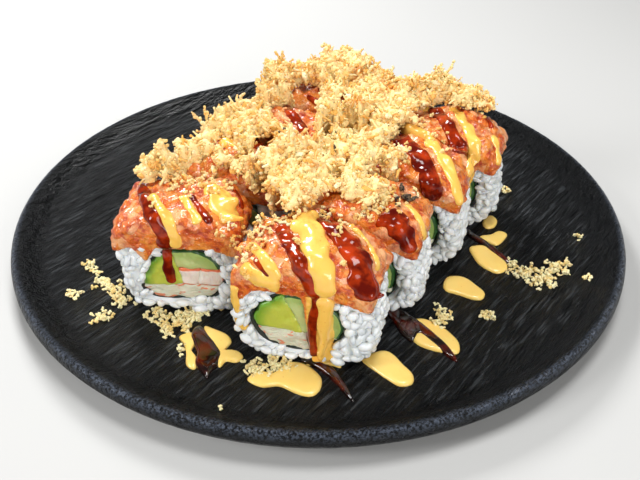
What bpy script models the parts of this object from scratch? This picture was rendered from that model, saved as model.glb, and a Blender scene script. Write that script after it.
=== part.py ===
# Uramaki rolls on a round black plate: eight cut pieces in two leaning rows, each with
# rice outside, a nori ring, avocado, cucumber and crab inside and chopped seafood on top.
# A heap of fried batter flakes lies over both rows, and sauce has run onto the plate.
# Metres, +Z up. The origin is the centre of the plate's underside.

import random
from math import cos, hypot, pi, radians, sin

import bmesh
import bpy
from mathutils import Euler, Matrix, Vector, noise

MM = 0.001

# Plate: a turned slab with a low rounded lip
PLATE_DIAMETER = 270 * MM
PLATE_FLOOR = 6 * MM
LIP_HEIGHT = 12.5 * MM
LIP_WIDTH = 13 * MM
FOOT_RADIUS = 96 * MM
PLATE_STEPS = 40

# One piece of roll, lying on its side with its cut faces front and back
ROLL_WIDTH = 45 * MM
RICE_HEIGHT = 37 * MM
ROLL_LENGTH = 25 * MM
RICE_POWER = 3.6
TOPPING_THICK = 8 * MM
NORI_WIDTH = 35 * MM
NORI_HEIGHT = 27 * MM
NORI_BOTTOM = 4 * MM
NORI_POWER = 2.5
NORI_THICK = 0.9 * MM
GRAIN_BUMP = 0.55 * MM
GAP = 0.35 * MM

# Where each piece stands: x, y and turn on the plate (row a is the left one, 1 is nearest)
PIECES = {
    "a1": (-50.5 * MM, -57.5 * MM, radians(-5)),
    "a2": (-34 * MM, -27.5 * MM, radians(-8)),
    "a3": (-15 * MM, 1.5 * MM, radians(-13)),
    "a4": (4 * MM, 31.5 * MM, radians(-17)),
    "b1": (-2 * MM, -84 * MM, radians(-14)),
    "b2": (16 * MM, -55.5 * MM, radians(-16)),
    "b3": (36 * MM, -26 * MM, radians(-18)),
    "b4": (56 * MM, 2 * MM, radians(-18)),
}

# Stations of the lofts
RICE_AROUND = 24
RICE_ALONG = 5
NORI_AROUND = 16
TOPPING_AROUND = 12

# Topping: how far round the roll it reaches and how far it hangs over the cut faces
TOPPING_START = radians(24)
TOPPING_END = radians(156)
FRONT_HANG = 7 * MM
BACK_HANG = 5 * MM
FRONT_HANG_THICK = 1.6 * MM
BACK_HANG_THICK = 0.8 * MM
LUMP = 1.1 * MM

# Sauce that runs down a cut face: piece, side (front -1), centre across, width, lowest height
DRIPS = [
    ("b1", -1, 6.5 * MM, 8 * MM, 2.2 * MM),
    ("b1", -1, -21 * MM, 5 * MM, 17 * MM),
    ("a1", -1, -11 * MM, 6 * MM, 15 * MM),
    ("b4", -1, 13 * MM, 5 * MM, 9 * MM),
]

# Heap of flakes: x, y, height of the top over the plate's base and radius of each big lump
FLAKE_LUMPS = [
    (-66, -47, 55, 5), (-59, -41, 58, 6), (-50, -45, 56, 6), (-46, -37, 57, 6),
    (-38, -41, 57, 7), (-29, -45, 56, 7), (-19, -44, 58, 8), (-27, -35, 56, 6),
    (-40, -27, 55, 5), (-41, -7, 57, 6), (-33, -1, 59, 7), (-27, -12, 59, 7),
    (-17, -15, 56, 7), (-19, -27, 54, 7), (-8, -36, 58, 8), (-14, -57, 57, 8),
    (-5, -51, 58, 8), (-8, -67, 57, 7), (-18, -78, 56, 6), (-25, -86, 55, 5),
    (2, -61, 56, 7), (6, -41, 57, 8), (4, -27, 56, 8), (12, -53, 57, 7),
    (17, -41, 56, 7), (16, -28, 58, 8), (22, -55, 57, 6), (17, -67, 56, 6),
    (10, -13, 56, 7), (24, -17, 58, 8), (29, -37, 57, 6), (33, -3, 58, 8),
    (-20, 35, 62, 8), (-14, 26, 58, 8), (-3, 37, 62, 8), (8, 41, 64, 8),
    (19, 39, 63, 8), (28, 32, 60, 7), (4, 23, 57, 8), (17, 20, 57, 8),
    (27, 11, 56, 8), (37, 20, 59, 7), (42, 11, 57, 7), (47, 21, 61, 7),
    (55, 19, 63, 7), (64, 14, 60, 6), (73, 10, 57, 6), (-33, -17, 58, 7),
    (-23, -4, 58, 7), (-12, -7, 58, 7), (-9, -22, 59, 8), (-2, -12, 58, 7),
    (5, -1, 57, 6), (-45, -17, 57, 6), (-51, -31, 57, 6), (-36, -30, 58, 7),
    (18, -4, 57, 7), (-24, 8, 58, 6), (-20, 18, 58, 7), (14, 6, 57, 6),
]
FLAKE_SPIKES = [
    (-17, 38, 66), (5, 45, 66), (24, 40, 66), (55, 22, 68), (-33, 5, 62),
    (-43, -2, 61), (-60, -38, 62), (-68, -45, 60), (74, 11, 62), (40, 22, 63),
]
FLAKE_SIZE = 3.2 * MM
FLAKES_ON_HEAP = 30
HEAP_CELL = 6 * MM
HEAP_SPREAD = 1.35
HEAP_LIFT = 1.2
HEAP_DEPTH = 12 * MM
HEAP_FLAKE_ROOT = 3 * MM

# Sauce on the plate: blobs of one pool as x, y, half length, half width, turn and height
POOLS = {
    "pool_front_left": [(-10.5, -107.5, 13, 6, -14, 1.6)],
    "pool_front_right": [(24.5, -101.5, 11.5, 5.6, -42, 1.6)],
    "pool_right_oval": [(58, -59, 8.8, 4.6, -33, 1.5)],
    "pool_right_far": [
        (71.5, -39, 11, 5.2, -50, 1.5), (79, -25, 8, 3, 42, 1.3), (74, -31, 13, 1.7, -58, 2.0),
    ],
    "pool_right_near": [(43, -85, 12, 5.2, -38, 1.5), (40, -84, 17, 2.2, -44, 2.0)],
    "pool_left": [
        (-45.5, -92, 6, 5, 20, 1.5), (-34, -91, 8.5, 4, -10, 1.5),
        (-40.5, -95, 11, 4.4, -78, 2.2), (-44.5, -99, 4, 3.2, -60, 1.5),
    ],
    "pool_front": [(4, -100.6, 7.5, 2.0, -4, 1.3), (9.5, -107, 8.5, 2.2, -52, 1.5)],
}
POOL_AROUND = 12

# Flakes that fell on the plate, fused to it: x, y and radius
PLATE_FLAKES = [
    (-98, -43, 2.4), (-94, -47, 2.6), (-90, -52, 2.2), (-85, -55, 2.8), (-80, -60, 2.6),
    (-75, -64, 2.4), (-82, -74, 2.6), (-96, -62, 2.0), (-62, -77, 3.0), (-57, -80, 3.2),
    (-51, -80, 2.6), (82, -46, 2.8), (87, -51, 3.4), (93, -53, 3.0), (98, -50, 3.0),
    (103, -49, 2.6), (109, -52, 1.6), (52, -76, 2.4), (65, -74, 2.2), (89, 13, 2.0),
    (115, -24, 1.4), (-32, -117, 1.2),
]


def reset_scene():
    """Remove every object that the file opened with."""
    for item in list(bpy.data.objects):
        bpy.data.objects.remove(item, do_unlink=True)


def new_collection(name):
    """Add a collection to the scene."""
    collection = bpy.data.collections.new(name)
    bpy.context.scene.collection.children.link(collection)
    return collection


def material(name, colour, roughness, metallic=0.0):
    """Return a Principled material with plain values."""
    made = bpy.data.materials.new(name)
    made.use_nodes = True
    shader = made.node_tree.nodes["Principled BSDF"]
    shader.inputs["Base Color"].default_value = (*colour, 1.0)
    shader.inputs["Roughness"].default_value = roughness
    shader.inputs["Metallic"].default_value = metallic
    return made


def mesh_object(name, bm, collection, look=None):
    """Turn a bmesh into an object with its faces pointing out."""
    bmesh.ops.recalc_face_normals(bm, faces=bm.faces)
    mesh = bpy.data.meshes.new(name)
    bm.to_mesh(mesh)
    bm.free()
    item = bpy.data.objects.new(name, mesh)
    collection.objects.link(item)
    if look:
        mesh.materials.append(look)
        mesh.shade_smooth()
    return item


def outline_radius(angle, width, height, power):
    """Radius of a rounded-box outline (a superellipse) in a direction."""
    across = abs(cos(angle)) / (width / 2)
    up = abs(sin(angle)) / (height / 2)
    return (across ** power + up ** power) ** (-1 / power)


def outline_point(angle, width, height, power, centre):
    """Point of the outline as x and z, for a centre at a height."""
    radius = outline_radius(angle, width, height, power)
    return radius * cos(angle), centre + radius * sin(angle)


def loft(bm, rings, close_ends=True):
    """Join rings of equal count by quads, and cap the first and last."""
    lines = [[bm.verts.new(point) for point in ring] for ring in rings]
    count = len(lines[0])
    for first, second in zip(lines, lines[1:]):
        for index in range(count):
            after = (index + 1) % count
            bm.faces.new((first[index], first[after], second[after], second[index]))
    if close_ends:
        bm.faces.new(lines[0])
        bm.faces.new(list(reversed(lines[-1])))
    return lines


def place(item, piece):
    """Stand a roll's sub-part on the plate's floor."""
    x, y, turn = PIECES[piece]
    item.location = (x, y, PLATE_FLOOR + GAP)
    item.rotation_euler = (0, 0, turn)


# Rice: a thick ring with bumps of a grain's size
def rice_ring_point(angle, along, draw):
    """Outer point of the rice, pulled in at the cut's edge."""
    centre = RICE_HEIGHT / 2
    x, z = outline_point(angle, ROLL_WIDTH, RICE_HEIGHT, RICE_POWER, centre)
    edge = 1.4 * MM if abs(along) > ROLL_LENGTH / 2 - 1 * MM else 0.0
    bump = draw.uniform(-1.6, 0.4) * GRAIN_BUMP
    shrink = 1 - (edge - bump) / hypot(x, z - centre)
    return Vector((x * shrink, along, max(0.0, centre + (z - centre) * shrink)))


def make_rice(piece, collection, look, draw):
    """Rice ring round the nori, with bumps on its sides and cut faces."""
    half = ROLL_LENGTH / 2
    hole_width = NORI_WIDTH + 2 * GAP
    hole_height = NORI_HEIGHT + 2 * GAP
    hole_centre = NORI_BOTTOM + NORI_HEIGHT / 2
    step = 2 * pi / RICE_AROUND

    def hole_ring(along):
        ring = []
        for index in range(RICE_AROUND):
            x, z = outline_point(index * step, hole_width, hole_height, NORI_POWER, hole_centre)
            ring.append(Vector((x, along, z)))
        return ring

    def outer_ring(number):
        along = -half + 2 * half * number / RICE_ALONG
        stagger = step / 2 * (number % 2)
        return [rice_ring_point(index * step + stagger, along, draw) for index in range(RICE_AROUND)]

    def face_ring(inner, outer, side):
        ring = []
        for point_in, point_out in zip(inner, outer):
            point = point_in.lerp(point_out, draw.uniform(0.5, 0.68))
            point.y = side * (half + draw.uniform(-0.5, 0.9) * GRAIN_BUMP)
            ring.append(point)
        return ring

    outers = [outer_ring(number) for number in range(RICE_ALONG + 1)]
    front_hole = hole_ring(-half + 0.4 * MM)
    back_hole = hole_ring(half - 0.4 * MM)
    front_face = face_ring(front_hole, outers[0], -1)
    back_face = face_ring(back_hole, outers[-1], 1)
    rings = [front_hole, front_face, *outers, back_face, back_hole, front_hole]
    bm = bmesh.new()
    loft(bm, rings, close_ends=False)
    bmesh.ops.remove_doubles(bm, verts=bm.verts, dist=0.01 * MM)
    item = mesh_object(f"rice_{piece}", bm, collection, look)
    place(item, piece)


def make_nori(piece, collection, look):
    """Dark sheet rolled into a thin ring."""
    centre = NORI_BOTTOM + NORI_HEIGHT / 2
    half = ROLL_LENGTH / 2 - 0.3 * MM
    step = 2 * pi / NORI_AROUND

    def ring(inset, along):
        points = []
        for index in range(NORI_AROUND):
            x, z = outline_point(
                index * step, NORI_WIDTH - 2 * inset, NORI_HEIGHT - 2 * inset, NORI_POWER, centre
            )
            points.append(Vector((x, along, z)))
        return points

    rings = [ring(0, -half), ring(0, half), ring(NORI_THICK, half), ring(NORI_THICK, -half), ring(0, -half)]
    bm = bmesh.new()
    loft(bm, rings, close_ends=False)
    bmesh.ops.remove_doubles(bm, verts=bm.verts, dist=0.01 * MM)
    item = mesh_object(f"nori_{piece}", bm, collection, look)
    place(item, piece)


# Fillings: the space inside the nori, split by straight cuts
def inside_outline():
    """Outline of the space inside the nori, as x and z points."""
    width = NORI_WIDTH - 2 * (NORI_THICK + GAP)
    height = NORI_HEIGHT - 2 * (NORI_THICK + GAP)
    centre = NORI_BOTTOM + NORI_HEIGHT / 2
    step = 2 * pi / NORI_AROUND
    return [outline_point(index * step, width, height, NORI_POWER, centre) for index in range(NORI_AROUND)]


def keep_side(points, through, direction):
    """Cut a convex outline by a line and keep its left side, half a gap away."""
    normal = (-sin(direction), cos(direction))

    def depth(point):
        across = (point[0] - through[0]) * normal[0]
        return across + (point[1] - through[1]) * normal[1] - GAP / 2

    kept = []
    for index, point in enumerate(points):
        after = points[(index + 1) % len(points)]
        here, there = depth(point), depth(after)
        if here > 0:
            kept.append(point)
        if here * there < 0:
            share = here / (here - there)
            kept.append((point[0] + share * (after[0] - point[0]), point[1] + share * (after[1] - point[1])))
    return kept


def make_filling(name, piece, outline, collection, look):
    """Strip of filling that runs through the piece."""
    half = ROLL_LENGTH / 2 - 0.1 * MM
    rings = [[Vector((x, along, z)) for x, z in outline] for along in (-half, half)]
    bm = bmesh.new()
    loft(bm, rings)
    bmesh.ops.remove_doubles(bm, verts=bm.verts, dist=0.15 * MM)
    item = mesh_object(f"{name}_{piece}", bm, collection, look)
    place(item, piece)


def make_fillings(piece, collection, looks, draw):
    """Avocado on the left, cucumber on the right, crab below; a1 also shows two crab sticks."""
    centre = NORI_BOTTOM + NORI_HEIGHT / 2
    space = inside_outline()
    floor_line = (0, centre - draw.uniform(3.5, 5.0) * MM)
    floor_turn = radians(draw.uniform(-4, 4))
    crab = keep_side(space, floor_line, floor_turn + pi)
    upper = keep_side(space, floor_line, floor_turn)
    wall_line = (draw.uniform(-2.0, 0.5) * MM, centre)
    wall_turn = radians(draw.uniform(102, 116))
    make_filling("avocado", piece, keep_side(upper, wall_line, wall_turn), collection, looks["avocado"])
    right = keep_side(upper, wall_line, wall_turn + pi)
    if piece == "a1":
        shelf = (0, centre + 3.5 * MM)
        sticks = keep_side(right, shelf, pi)
        right = keep_side(right, shelf, 0)
        middle = (7.5 * MM, centre)
        lean = radians(80)
        make_filling("stick1", piece, keep_side(sticks, middle, lean), collection, looks["stick"])
        make_filling("stick2", piece, keep_side(sticks, middle, lean + pi), collection, looks["stick"])
    make_filling("cucumber", piece, right, collection, looks["cucumber"])
    make_filling("crab", piece, crab, collection, looks["crab"])


# Topping: chopped seafood with thick drizzle, draped over the rice
def hang_length(piece, side, x, z):
    """Length that the topping hangs down over a cut face."""
    reach = FRONT_HANG if side < 0 else BACK_HANG
    low = z - reach * (1 - 0.5 * (2 * x / ROLL_WIDTH) ** 2)
    low += 1.2 * MM * noise.noise(Vector((x / (6 * MM), side * 3.0, hash_of(piece))))
    for name, drip_side, across, width, bottom in DRIPS:
        if name == piece and drip_side == side and abs(x - across) < width / 2:
            low = bottom
    return z - low


def hash_of(piece):
    """Small number that differs between the pieces."""
    return 10.0 * list(PIECES).index(piece)


def topping_section(piece, angle):
    """Section of the topping at an angle round the roll, as a closed C of points."""
    centre = RICE_HEIGHT / 2
    clear = GRAIN_BUMP / 2 + 2 * GAP
    width = ROLL_WIDTH + 2 * clear
    height = RICE_HEIGHT + 2 * clear
    x, z = outline_point(angle, width, height, RICE_POWER, centre)
    out = Vector((cos(angle), 0, sin(angle)))
    half = ROLL_LENGTH / 2 + GRAIN_BUMP + GAP
    edge = sin(pi * (angle - TOPPING_START) / (TOPPING_END - TOPPING_START))
    thick = TOPPING_THICK * (0.15 + 0.85 * max(0.0, edge) ** 0.7)

    def outer(along, share, lump=LUMP):
        place_now = Vector((x / (5 * MM), along / (5 * MM), z / (5 * MM) + hash_of(piece)))
        rough = lump * (2 * noise.noise(place_now) + 0.8 * noise.noise(3.1 * place_now))
        swell = thick * share + rough * min(1.0, thick / (5 * MM))
        return Vector((x, along, z)) + out * swell

    front_low = z - hang_length(piece, -1, x, z)
    back_low = z - hang_length(piece, 1, x, z)
    lean = 0.93
    return [
        Vector((x * lean, -half, front_low)),
        Vector((x, -half, z)),
        Vector((x, half, z)),
        Vector((x * lean, half, back_low)),
        Vector((x * lean, half + BACK_HANG_THICK, back_low)),
        outer(half + BACK_HANG_THICK, 0.25, 0),
        outer(half - 0.5 * MM, 0.8),
        outer(half * 0.55, 1.0),
        outer(half * 0.1, 1.0),
        outer(-half * 0.35, 1.0),
        outer(-half + 2.5 * MM, 0.95),
        outer(-half - FRONT_HANG_THICK * 0.6, 0.6),
        outer(-half - FRONT_HANG_THICK, 0.05, 0),
        Vector((x * lean, -half - FRONT_HANG_THICK * 0.8, front_low)),
    ]


def make_topping(piece, collection, look):
    """Lumpy cap over the roll."""
    rings = []
    for index in range(TOPPING_AROUND + 1):
        angle = TOPPING_START + (TOPPING_END - TOPPING_START) * index / TOPPING_AROUND
        rings.append(topping_section(piece, angle))
    bm = bmesh.new()
    loft(bm, rings)
    item = mesh_object(f"topping_{piece}", bm, collection, look)
    place(item, piece)


def covered_height(x, y):
    """Height of the toppings' highest possible surface over a point of the plate."""
    height = 0.0
    thick = TOPPING_THICK + 2.2 * LUMP + GAP
    for across, back, turn in PIECES.values():
        along_x = (x - across) * cos(turn) + (y - back) * sin(turn)
        along_y = (y - back) * cos(turn) - (x - across) * sin(turn)
        share = abs(along_x) / (ROLL_WIDTH / 2 + 0.4 * TOPPING_THICK)
        if share < 1 and abs(along_y) < ROLL_LENGTH / 2 + 3 * MM:
            bend = (1 - share ** RICE_POWER) ** (1 / RICE_POWER)
            level = PLATE_FLOOR + RICE_HEIGHT / 2 + (RICE_HEIGHT / 2 + thick) * bend
            height = max(height, level)
    return height


def hide_helper(item):
    """Mark an object as a construction helper."""
    item.hide_render = True
    item.display_type = "WIRE"


# Flakes: small angular crumbs, joined by a Boolean union
def add_crumb(centre, radius, draw, collection):
    """One angular lump, stretched and turned at random."""
    bm = bmesh.new()
    bmesh.ops.create_icosphere(bm, subdivisions=1, radius=radius)
    for vert in bm.verts:
        vert.co *= draw.uniform(0.82, 1.18)
    stretch = Matrix.Diagonal((draw.uniform(0.9, 1.25), draw.uniform(0.8, 1.1), draw.uniform(0.75, 1.0), 1))
    turn = Euler((draw.uniform(0, pi), draw.uniform(0, pi), draw.uniform(0, pi))).to_matrix().to_4x4()
    bm.transform(Matrix.Translation(centre) @ turn @ stretch)
    item = mesh_object("crumb", bm, collection)
    hide_helper(item)


def add_spike(tip, draw, collection):
    """Thin curl of batter that stands up from the heap."""
    room = tip[2] * MM - covered_height(tip[0] * MM, tip[1] * MM) - 2 * MM
    length = min(draw.uniform(9, 12) * MM, room)
    lean = Vector((draw.uniform(-0.25, 0.25), draw.uniform(-0.25, 0.25), 1)).normalized()
    bm = bmesh.new()
    bmesh.ops.create_cone(
        bm, cap_ends=True, segments=5, radius1=2.0 * MM, radius2=0.7 * MM, depth=length
    )
    turn = lean.to_track_quat("Z", "Y").to_matrix().to_4x4()
    bm.transform(Matrix.Translation(Vector(tip) * MM - lean * length / 2) @ turn)
    item = mesh_object("spike", bm, collection)
    hide_helper(item)


def boolean(item, operation, collection, solver="EXACT"):
    """Apply one Boolean with every object of a collection, then remove those objects."""
    modifier = item.modifiers.new("join", "BOOLEAN")
    modifier.operation = operation
    modifier.operand_type = "COLLECTION"
    modifier.collection = collection
    modifier.solver = solver
    bpy.context.view_layer.update()
    evaluated = item.evaluated_get(bpy.context.evaluated_depsgraph_get())
    mesh = bpy.data.meshes.new_from_object(evaluated)
    item.modifiers.clear()
    old = item.data
    item.data = mesh
    bpy.data.meshes.remove(old)
    for helper in list(collection.objects):
        bpy.data.objects.remove(helper, do_unlink=True)


def keep_largest(item):
    """Drop loose scraps that a cut leaves, and weld points that lie together."""
    bm = bmesh.new()
    bm.from_mesh(item.data)
    bmesh.ops.remove_doubles(bm, verts=bm.verts, dist=0.02 * MM)
    bmesh.ops.triangulate(bm, faces=bm.faces)
    left = set(bm.faces)
    groups = []
    while left:
        seed_face = left.pop()
        group = {seed_face}
        waiting = [seed_face]
        while waiting:
            for edge in waiting.pop().edges:
                for other in edge.link_faces:
                    if other in left:
                        left.discard(other)
                        group.add(other)
                        waiting.append(other)
        groups.append(group)
    largest = max(groups, key=len)
    scraps = [face for face in bm.faces if face not in largest]
    bmesh.ops.delete(bm, geom=scraps, context="FACES")
    bmesh.ops.delete(bm, geom=[edge for edge in bm.edges if not edge.link_faces], context="EDGES")
    bmesh.ops.delete(bm, geom=[vert for vert in bm.verts if not vert.link_faces], context="VERTS")
    bm.to_mesh(item.data)
    bm.free()


def heap_levels(x, y, draw):
    """Lowest and highest point of the heap over a point of the plate."""
    top = 0.0
    for lump_x, lump_y, peak, size in FLAKE_LUMPS:
        apart = hypot(x / MM - lump_x, y / MM - lump_y)
        reach = HEAP_SPREAD * size
        if apart < reach:
            top = max(top, (peak + HEAP_LIFT - 0.75 * size * (apart / reach) ** 2) * MM)
    if not top:
        return 0.0, 0.0
    steps = (-HEAP_CELL, 0.0, HEAP_CELL)
    rolls = max(covered_height(x + across, y + back) for across in steps for back in steps)
    bottom = max(rolls + 0.3 * MM, top - HEAP_DEPTH)
    return bottom, top + draw.uniform(-0.6, 1.4) * MM


def heap_cells(levels):
    """Cells of the grid that the heap fills, without any that meet only at a corner."""
    cells = set()
    for column, row in levels:
        corners = [(column, row), (column + 1, row), (column, row + 1), (column + 1, row + 1)]
        if all(corner in levels for corner in corners):
            thick = [levels[corner][1] - levels[corner][0] for corner in corners]
            if min(thick) > 0.4 * MM and sum(thick) > 6 * MM:
                cells.add((column, row))
    cells = joined_cells(cells)
    changed = True
    while changed:
        changed = False
        for column, row in sorted(cells):
            for side in (-1, 1):
                corner_only = (column + side, row + 1) in cells
                if corner_only and (column + side, row) not in cells and (column, row + 1) not in cells:
                    cells.discard((column, row))
                    changed = True
    return joined_cells(cells)


def joined_cells(cells):
    """Largest group of cells that share sides."""
    left = set(cells)
    best = set()
    while left:
        group = set()
        waiting = [left.pop()]
        while waiting:
            column, row = waiting.pop()
            group.add((column, row))
            for other in ((column + 1, row), (column - 1, row), (column, row + 1), (column, row - 1)):
                if other in left:
                    left.discard(other)
                    waiting.append(other)
        best = max(best, group, key=len)
    return best


def heap_core(draw):
    """Uneven blanket of flakes over the rolls, as a grid with a top and an underside."""
    levels = {}
    for column in range(-13, 16):
        for row in range(-17, 11):
            x = (column + draw.uniform(-0.2, 0.2)) * HEAP_CELL
            y = (row + draw.uniform(-0.2, 0.2)) * HEAP_CELL
            bottom, top = heap_levels(x, y, draw)
            if top - bottom > 0.4 * MM:
                levels[column, row] = (bottom, top, x, y)
    cells = heap_cells(levels)
    bm = bmesh.new()
    made = {}
    for cell in sorted(cells):
        for column in (0, 1):
            for row in (0, 1):
                key = (cell[0] + column, cell[1] + row)
                if key not in made:
                    bottom, top, x, y = levels[key]
                    made[key] = (bm.verts.new((x, y, bottom)), bm.verts.new((x, y, top)))
    for column, row in sorted(cells):
        loop = [(column, row), (column + 1, row), (column + 1, row + 1), (column, row + 1)]
        bm.faces.new([made[key][1] for key in loop])
        bm.faces.new([made[key][0] for key in reversed(loop)])
        outside = [(column, row - 1), (column + 1, row), (column, row + 1), (column - 1, row)]
        for index, other in enumerate(outside):
            if other not in cells:
                first, second = loop[index], loop[(index + 1) % 4]
                bm.faces.new((made[first][0], made[second][0], made[second][1], made[first][1]))
    bmesh.ops.triangulate(bm, faces=bm.faces)
    tops = []
    for key in sorted(made):
        low, high = made[key]
        if high.co.z - low.co.z > HEAP_FLAKE_ROOT:
            tops.append(high.co.copy())
    return bm, tops


def make_heap(collection, helpers, look, draw):
    """Flakes over both rows: an uneven core, with true-size flakes and spikes fused on."""
    bm, tops = heap_core(draw)
    heap = mesh_object("flake_heap", bm, collection, look)
    for centre in draw.sample(tops, FLAKES_ON_HEAP):
        size = FLAKE_SIZE * draw.uniform(0.75, 1.2)
        add_crumb(centre + Vector((0, 0, 0.5)) * size, size, draw, helpers)
    for tip in FLAKE_SPIKES:
        add_spike(tip, draw, helpers)
    boolean(heap, "UNION", helpers)
    keep_largest(heap)
    heap.data.shade_smooth()
    heap.data.set_sharp_from_angle(angle=radians(25))


# Sauce: low domes with wavy outlines
def pool_blob(name, blob, collection, look=None):
    """One low dome of sauce on the plate's floor."""
    x, y, half_length, half_width, turn, height = blob
    base = PLATE_FLOOR + GAP
    levels = ((0.93, 0.0), (1.0, 0.35), (0.88, 0.8), (0.45, 1.0))
    rings = []
    for spread, rise in levels:
        ring = []
        for index in range(POOL_AROUND):
            angle = 2 * pi * index / POOL_AROUND
            wave = 1 + 0.07 * sin(2 * angle + x) + 0.05 * sin(3 * angle + y)
            along = half_length * MM * cos(angle) * wave * spread
            across = half_width * MM * sin(angle) * wave * spread
            ring.append(Vector((along, across, rise * height * MM)))
        rings.append(ring)
    bm = bmesh.new()
    loft(bm, rings)
    bm.transform(Matrix.Translation((x * MM, y * MM, base)) @ Matrix.Rotation(radians(turn), 4, "Z"))
    return mesh_object(name, bm, collection, look)


def make_pools(collection, helpers, look):
    """Pools of sauce, each a union of its blobs."""
    for name, blobs in POOLS.items():
        pool = pool_blob(name, blobs[0], collection, look)
        for blob in blobs[1:]:
            hide_helper(pool_blob("blob", blob, helpers))
        if len(blobs) > 1:
            boolean(pool, "UNION", helpers)
            keep_largest(pool)
            pool.data.shade_smooth()


def make_plate(collection, helpers, look, draw):
    """Turned plate with a low rounded lip, and the fallen flakes fused to its floor."""
    rim = PLATE_DIAMETER / 2
    crest = rim - 2.5 * MM
    inner = rim - LIP_WIDTH
    profile = [
        (0, PLATE_FLOOR), (inner, PLATE_FLOOR), (inner + 5 * MM, PLATE_FLOOR + 1.6 * MM),
        (crest - 3 * MM, LIP_HEIGHT - 1.2 * MM), (crest, LIP_HEIGHT), (rim - 0.7 * MM, LIP_HEIGHT - 1.4 * MM),
        (rim, LIP_HEIGHT - 4.5 * MM), (rim - 4 * MM, 4 * MM), (FOOT_RADIUS + 12 * MM, 1.2 * MM),
        (FOOT_RADIUS, 0), (0, 0),
    ]
    bm = bmesh.new()
    points = [bm.verts.new((x, 0, z)) for x, z in profile]
    for first, second in zip(points, points[1:]):
        bm.edges.new((first, second))
    mesh = bpy.data.meshes.new("plate")
    bm.to_mesh(mesh)
    bm.free()
    plate = bpy.data.objects.new("plate", mesh)
    collection.objects.link(plate)
    screw = plate.modifiers.new("turn", "SCREW")
    screw.steps = PLATE_STEPS
    screw.render_steps = PLATE_STEPS
    screw.use_merge_vertices = True
    screw.merge_threshold = 0.01 * MM
    for x, y, size in PLATE_FLAKES:
        add_crumb(Vector((x, y, PLATE_FLOOR / MM + 0.45 * size)) * MM, size * MM, draw, helpers)
    boolean(plate, "UNION", helpers)
    keep_largest(plate)
    plate.data.materials.clear()
    plate.data.materials.append(look)
    plate.data.shade_smooth()
    plate.data.set_sharp_from_angle(angle=radians(35))


def main():
    """Build the plate, the eight pieces, the heap and the pools."""
    reset_scene()
    parts = new_collection("uramaki_plate")
    helpers = new_collection("helpers")
    looks = {
        "plate": material("plate_black", (0.012, 0.013, 0.015), 0.45),
        "rice": material("rice_white", (0.78, 0.82, 0.82), 0.45),
        "nori": material("nori_dark", (0.012, 0.018, 0.014), 0.5),
        "avocado": material("avocado_green", (0.36, 0.52, 0.08), 0.4),
        "cucumber": material("cucumber_green", (0.5, 0.62, 0.22), 0.35),
        "crab": material("crab_cream", (0.8, 0.76, 0.58), 0.5),
        "stick": material("crab_stick_red", (0.85, 0.4, 0.25), 0.45),
        "topping": material("seafood_salmon", (0.8, 0.25, 0.09), 0.35),
        "flakes": material("flakes_gold", (0.88, 0.66, 0.26), 0.6),
        "sauce": material("sauce_yellow", (0.95, 0.6, 0.14), 0.3),
    }
    draw = random.Random(7)
    make_plate(parts, helpers, looks["plate"], draw)
    for piece in PIECES:
        make_rice(piece, parts, looks["rice"], draw)
        make_nori(piece, parts, looks["nori"])
        make_fillings(piece, parts, looks, draw)
        make_topping(piece, parts, looks["topping"])
    make_heap(parts, helpers, looks["flakes"], draw)
    make_pools(parts, helpers, looks["sauce"])


main()
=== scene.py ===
# %% [markdown]
# # Uramaki rolls on a black plate
# Eight pieces of inside-out sushi roll stand in two leaning rows on a round black plate.
# The packed solids say where every piece is. This script gives each of them the surface
# of the real food: rice grains, a seaweed ring, fillings, chopped seafood, two sauces and
# crisp fried batter flakes.

# %% Load the frame
import random
from math import atan2, cos, degrees, hypot, pi, radians, sin, sqrt

import bmesh
import bpy
from mathutils import Euler, Matrix, Vector, noise
from mathutils.bvhtree import BVHTree


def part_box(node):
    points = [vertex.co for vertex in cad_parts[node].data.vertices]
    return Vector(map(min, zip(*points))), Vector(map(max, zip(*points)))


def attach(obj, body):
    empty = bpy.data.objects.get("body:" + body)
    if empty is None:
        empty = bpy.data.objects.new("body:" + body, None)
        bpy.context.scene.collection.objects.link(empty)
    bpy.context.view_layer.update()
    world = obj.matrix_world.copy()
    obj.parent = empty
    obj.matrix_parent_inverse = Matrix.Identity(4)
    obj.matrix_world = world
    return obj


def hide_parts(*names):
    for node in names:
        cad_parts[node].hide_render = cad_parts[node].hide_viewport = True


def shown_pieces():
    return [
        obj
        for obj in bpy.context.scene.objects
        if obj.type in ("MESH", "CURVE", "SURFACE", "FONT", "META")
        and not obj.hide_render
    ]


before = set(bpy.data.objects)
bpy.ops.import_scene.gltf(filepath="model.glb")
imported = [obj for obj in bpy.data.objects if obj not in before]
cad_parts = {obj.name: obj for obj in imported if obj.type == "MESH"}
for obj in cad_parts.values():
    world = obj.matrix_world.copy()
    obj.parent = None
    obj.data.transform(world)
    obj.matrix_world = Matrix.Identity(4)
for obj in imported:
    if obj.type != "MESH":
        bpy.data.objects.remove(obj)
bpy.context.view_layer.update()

MM = 0.001
PIECES = ["a1", "a2", "a3", "a4", "b1", "b2", "b3", "b4"]

# %% [markdown]
# The photograph was taken from about 37 degrees above the table. Knowing the camera lets
# us do something useful: a point of the photograph becomes a ray, and where the ray meets
# the food is where a stripe of sauce lies. The view transform is Standard, because the
# default one makes pale food look washed out.

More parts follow.
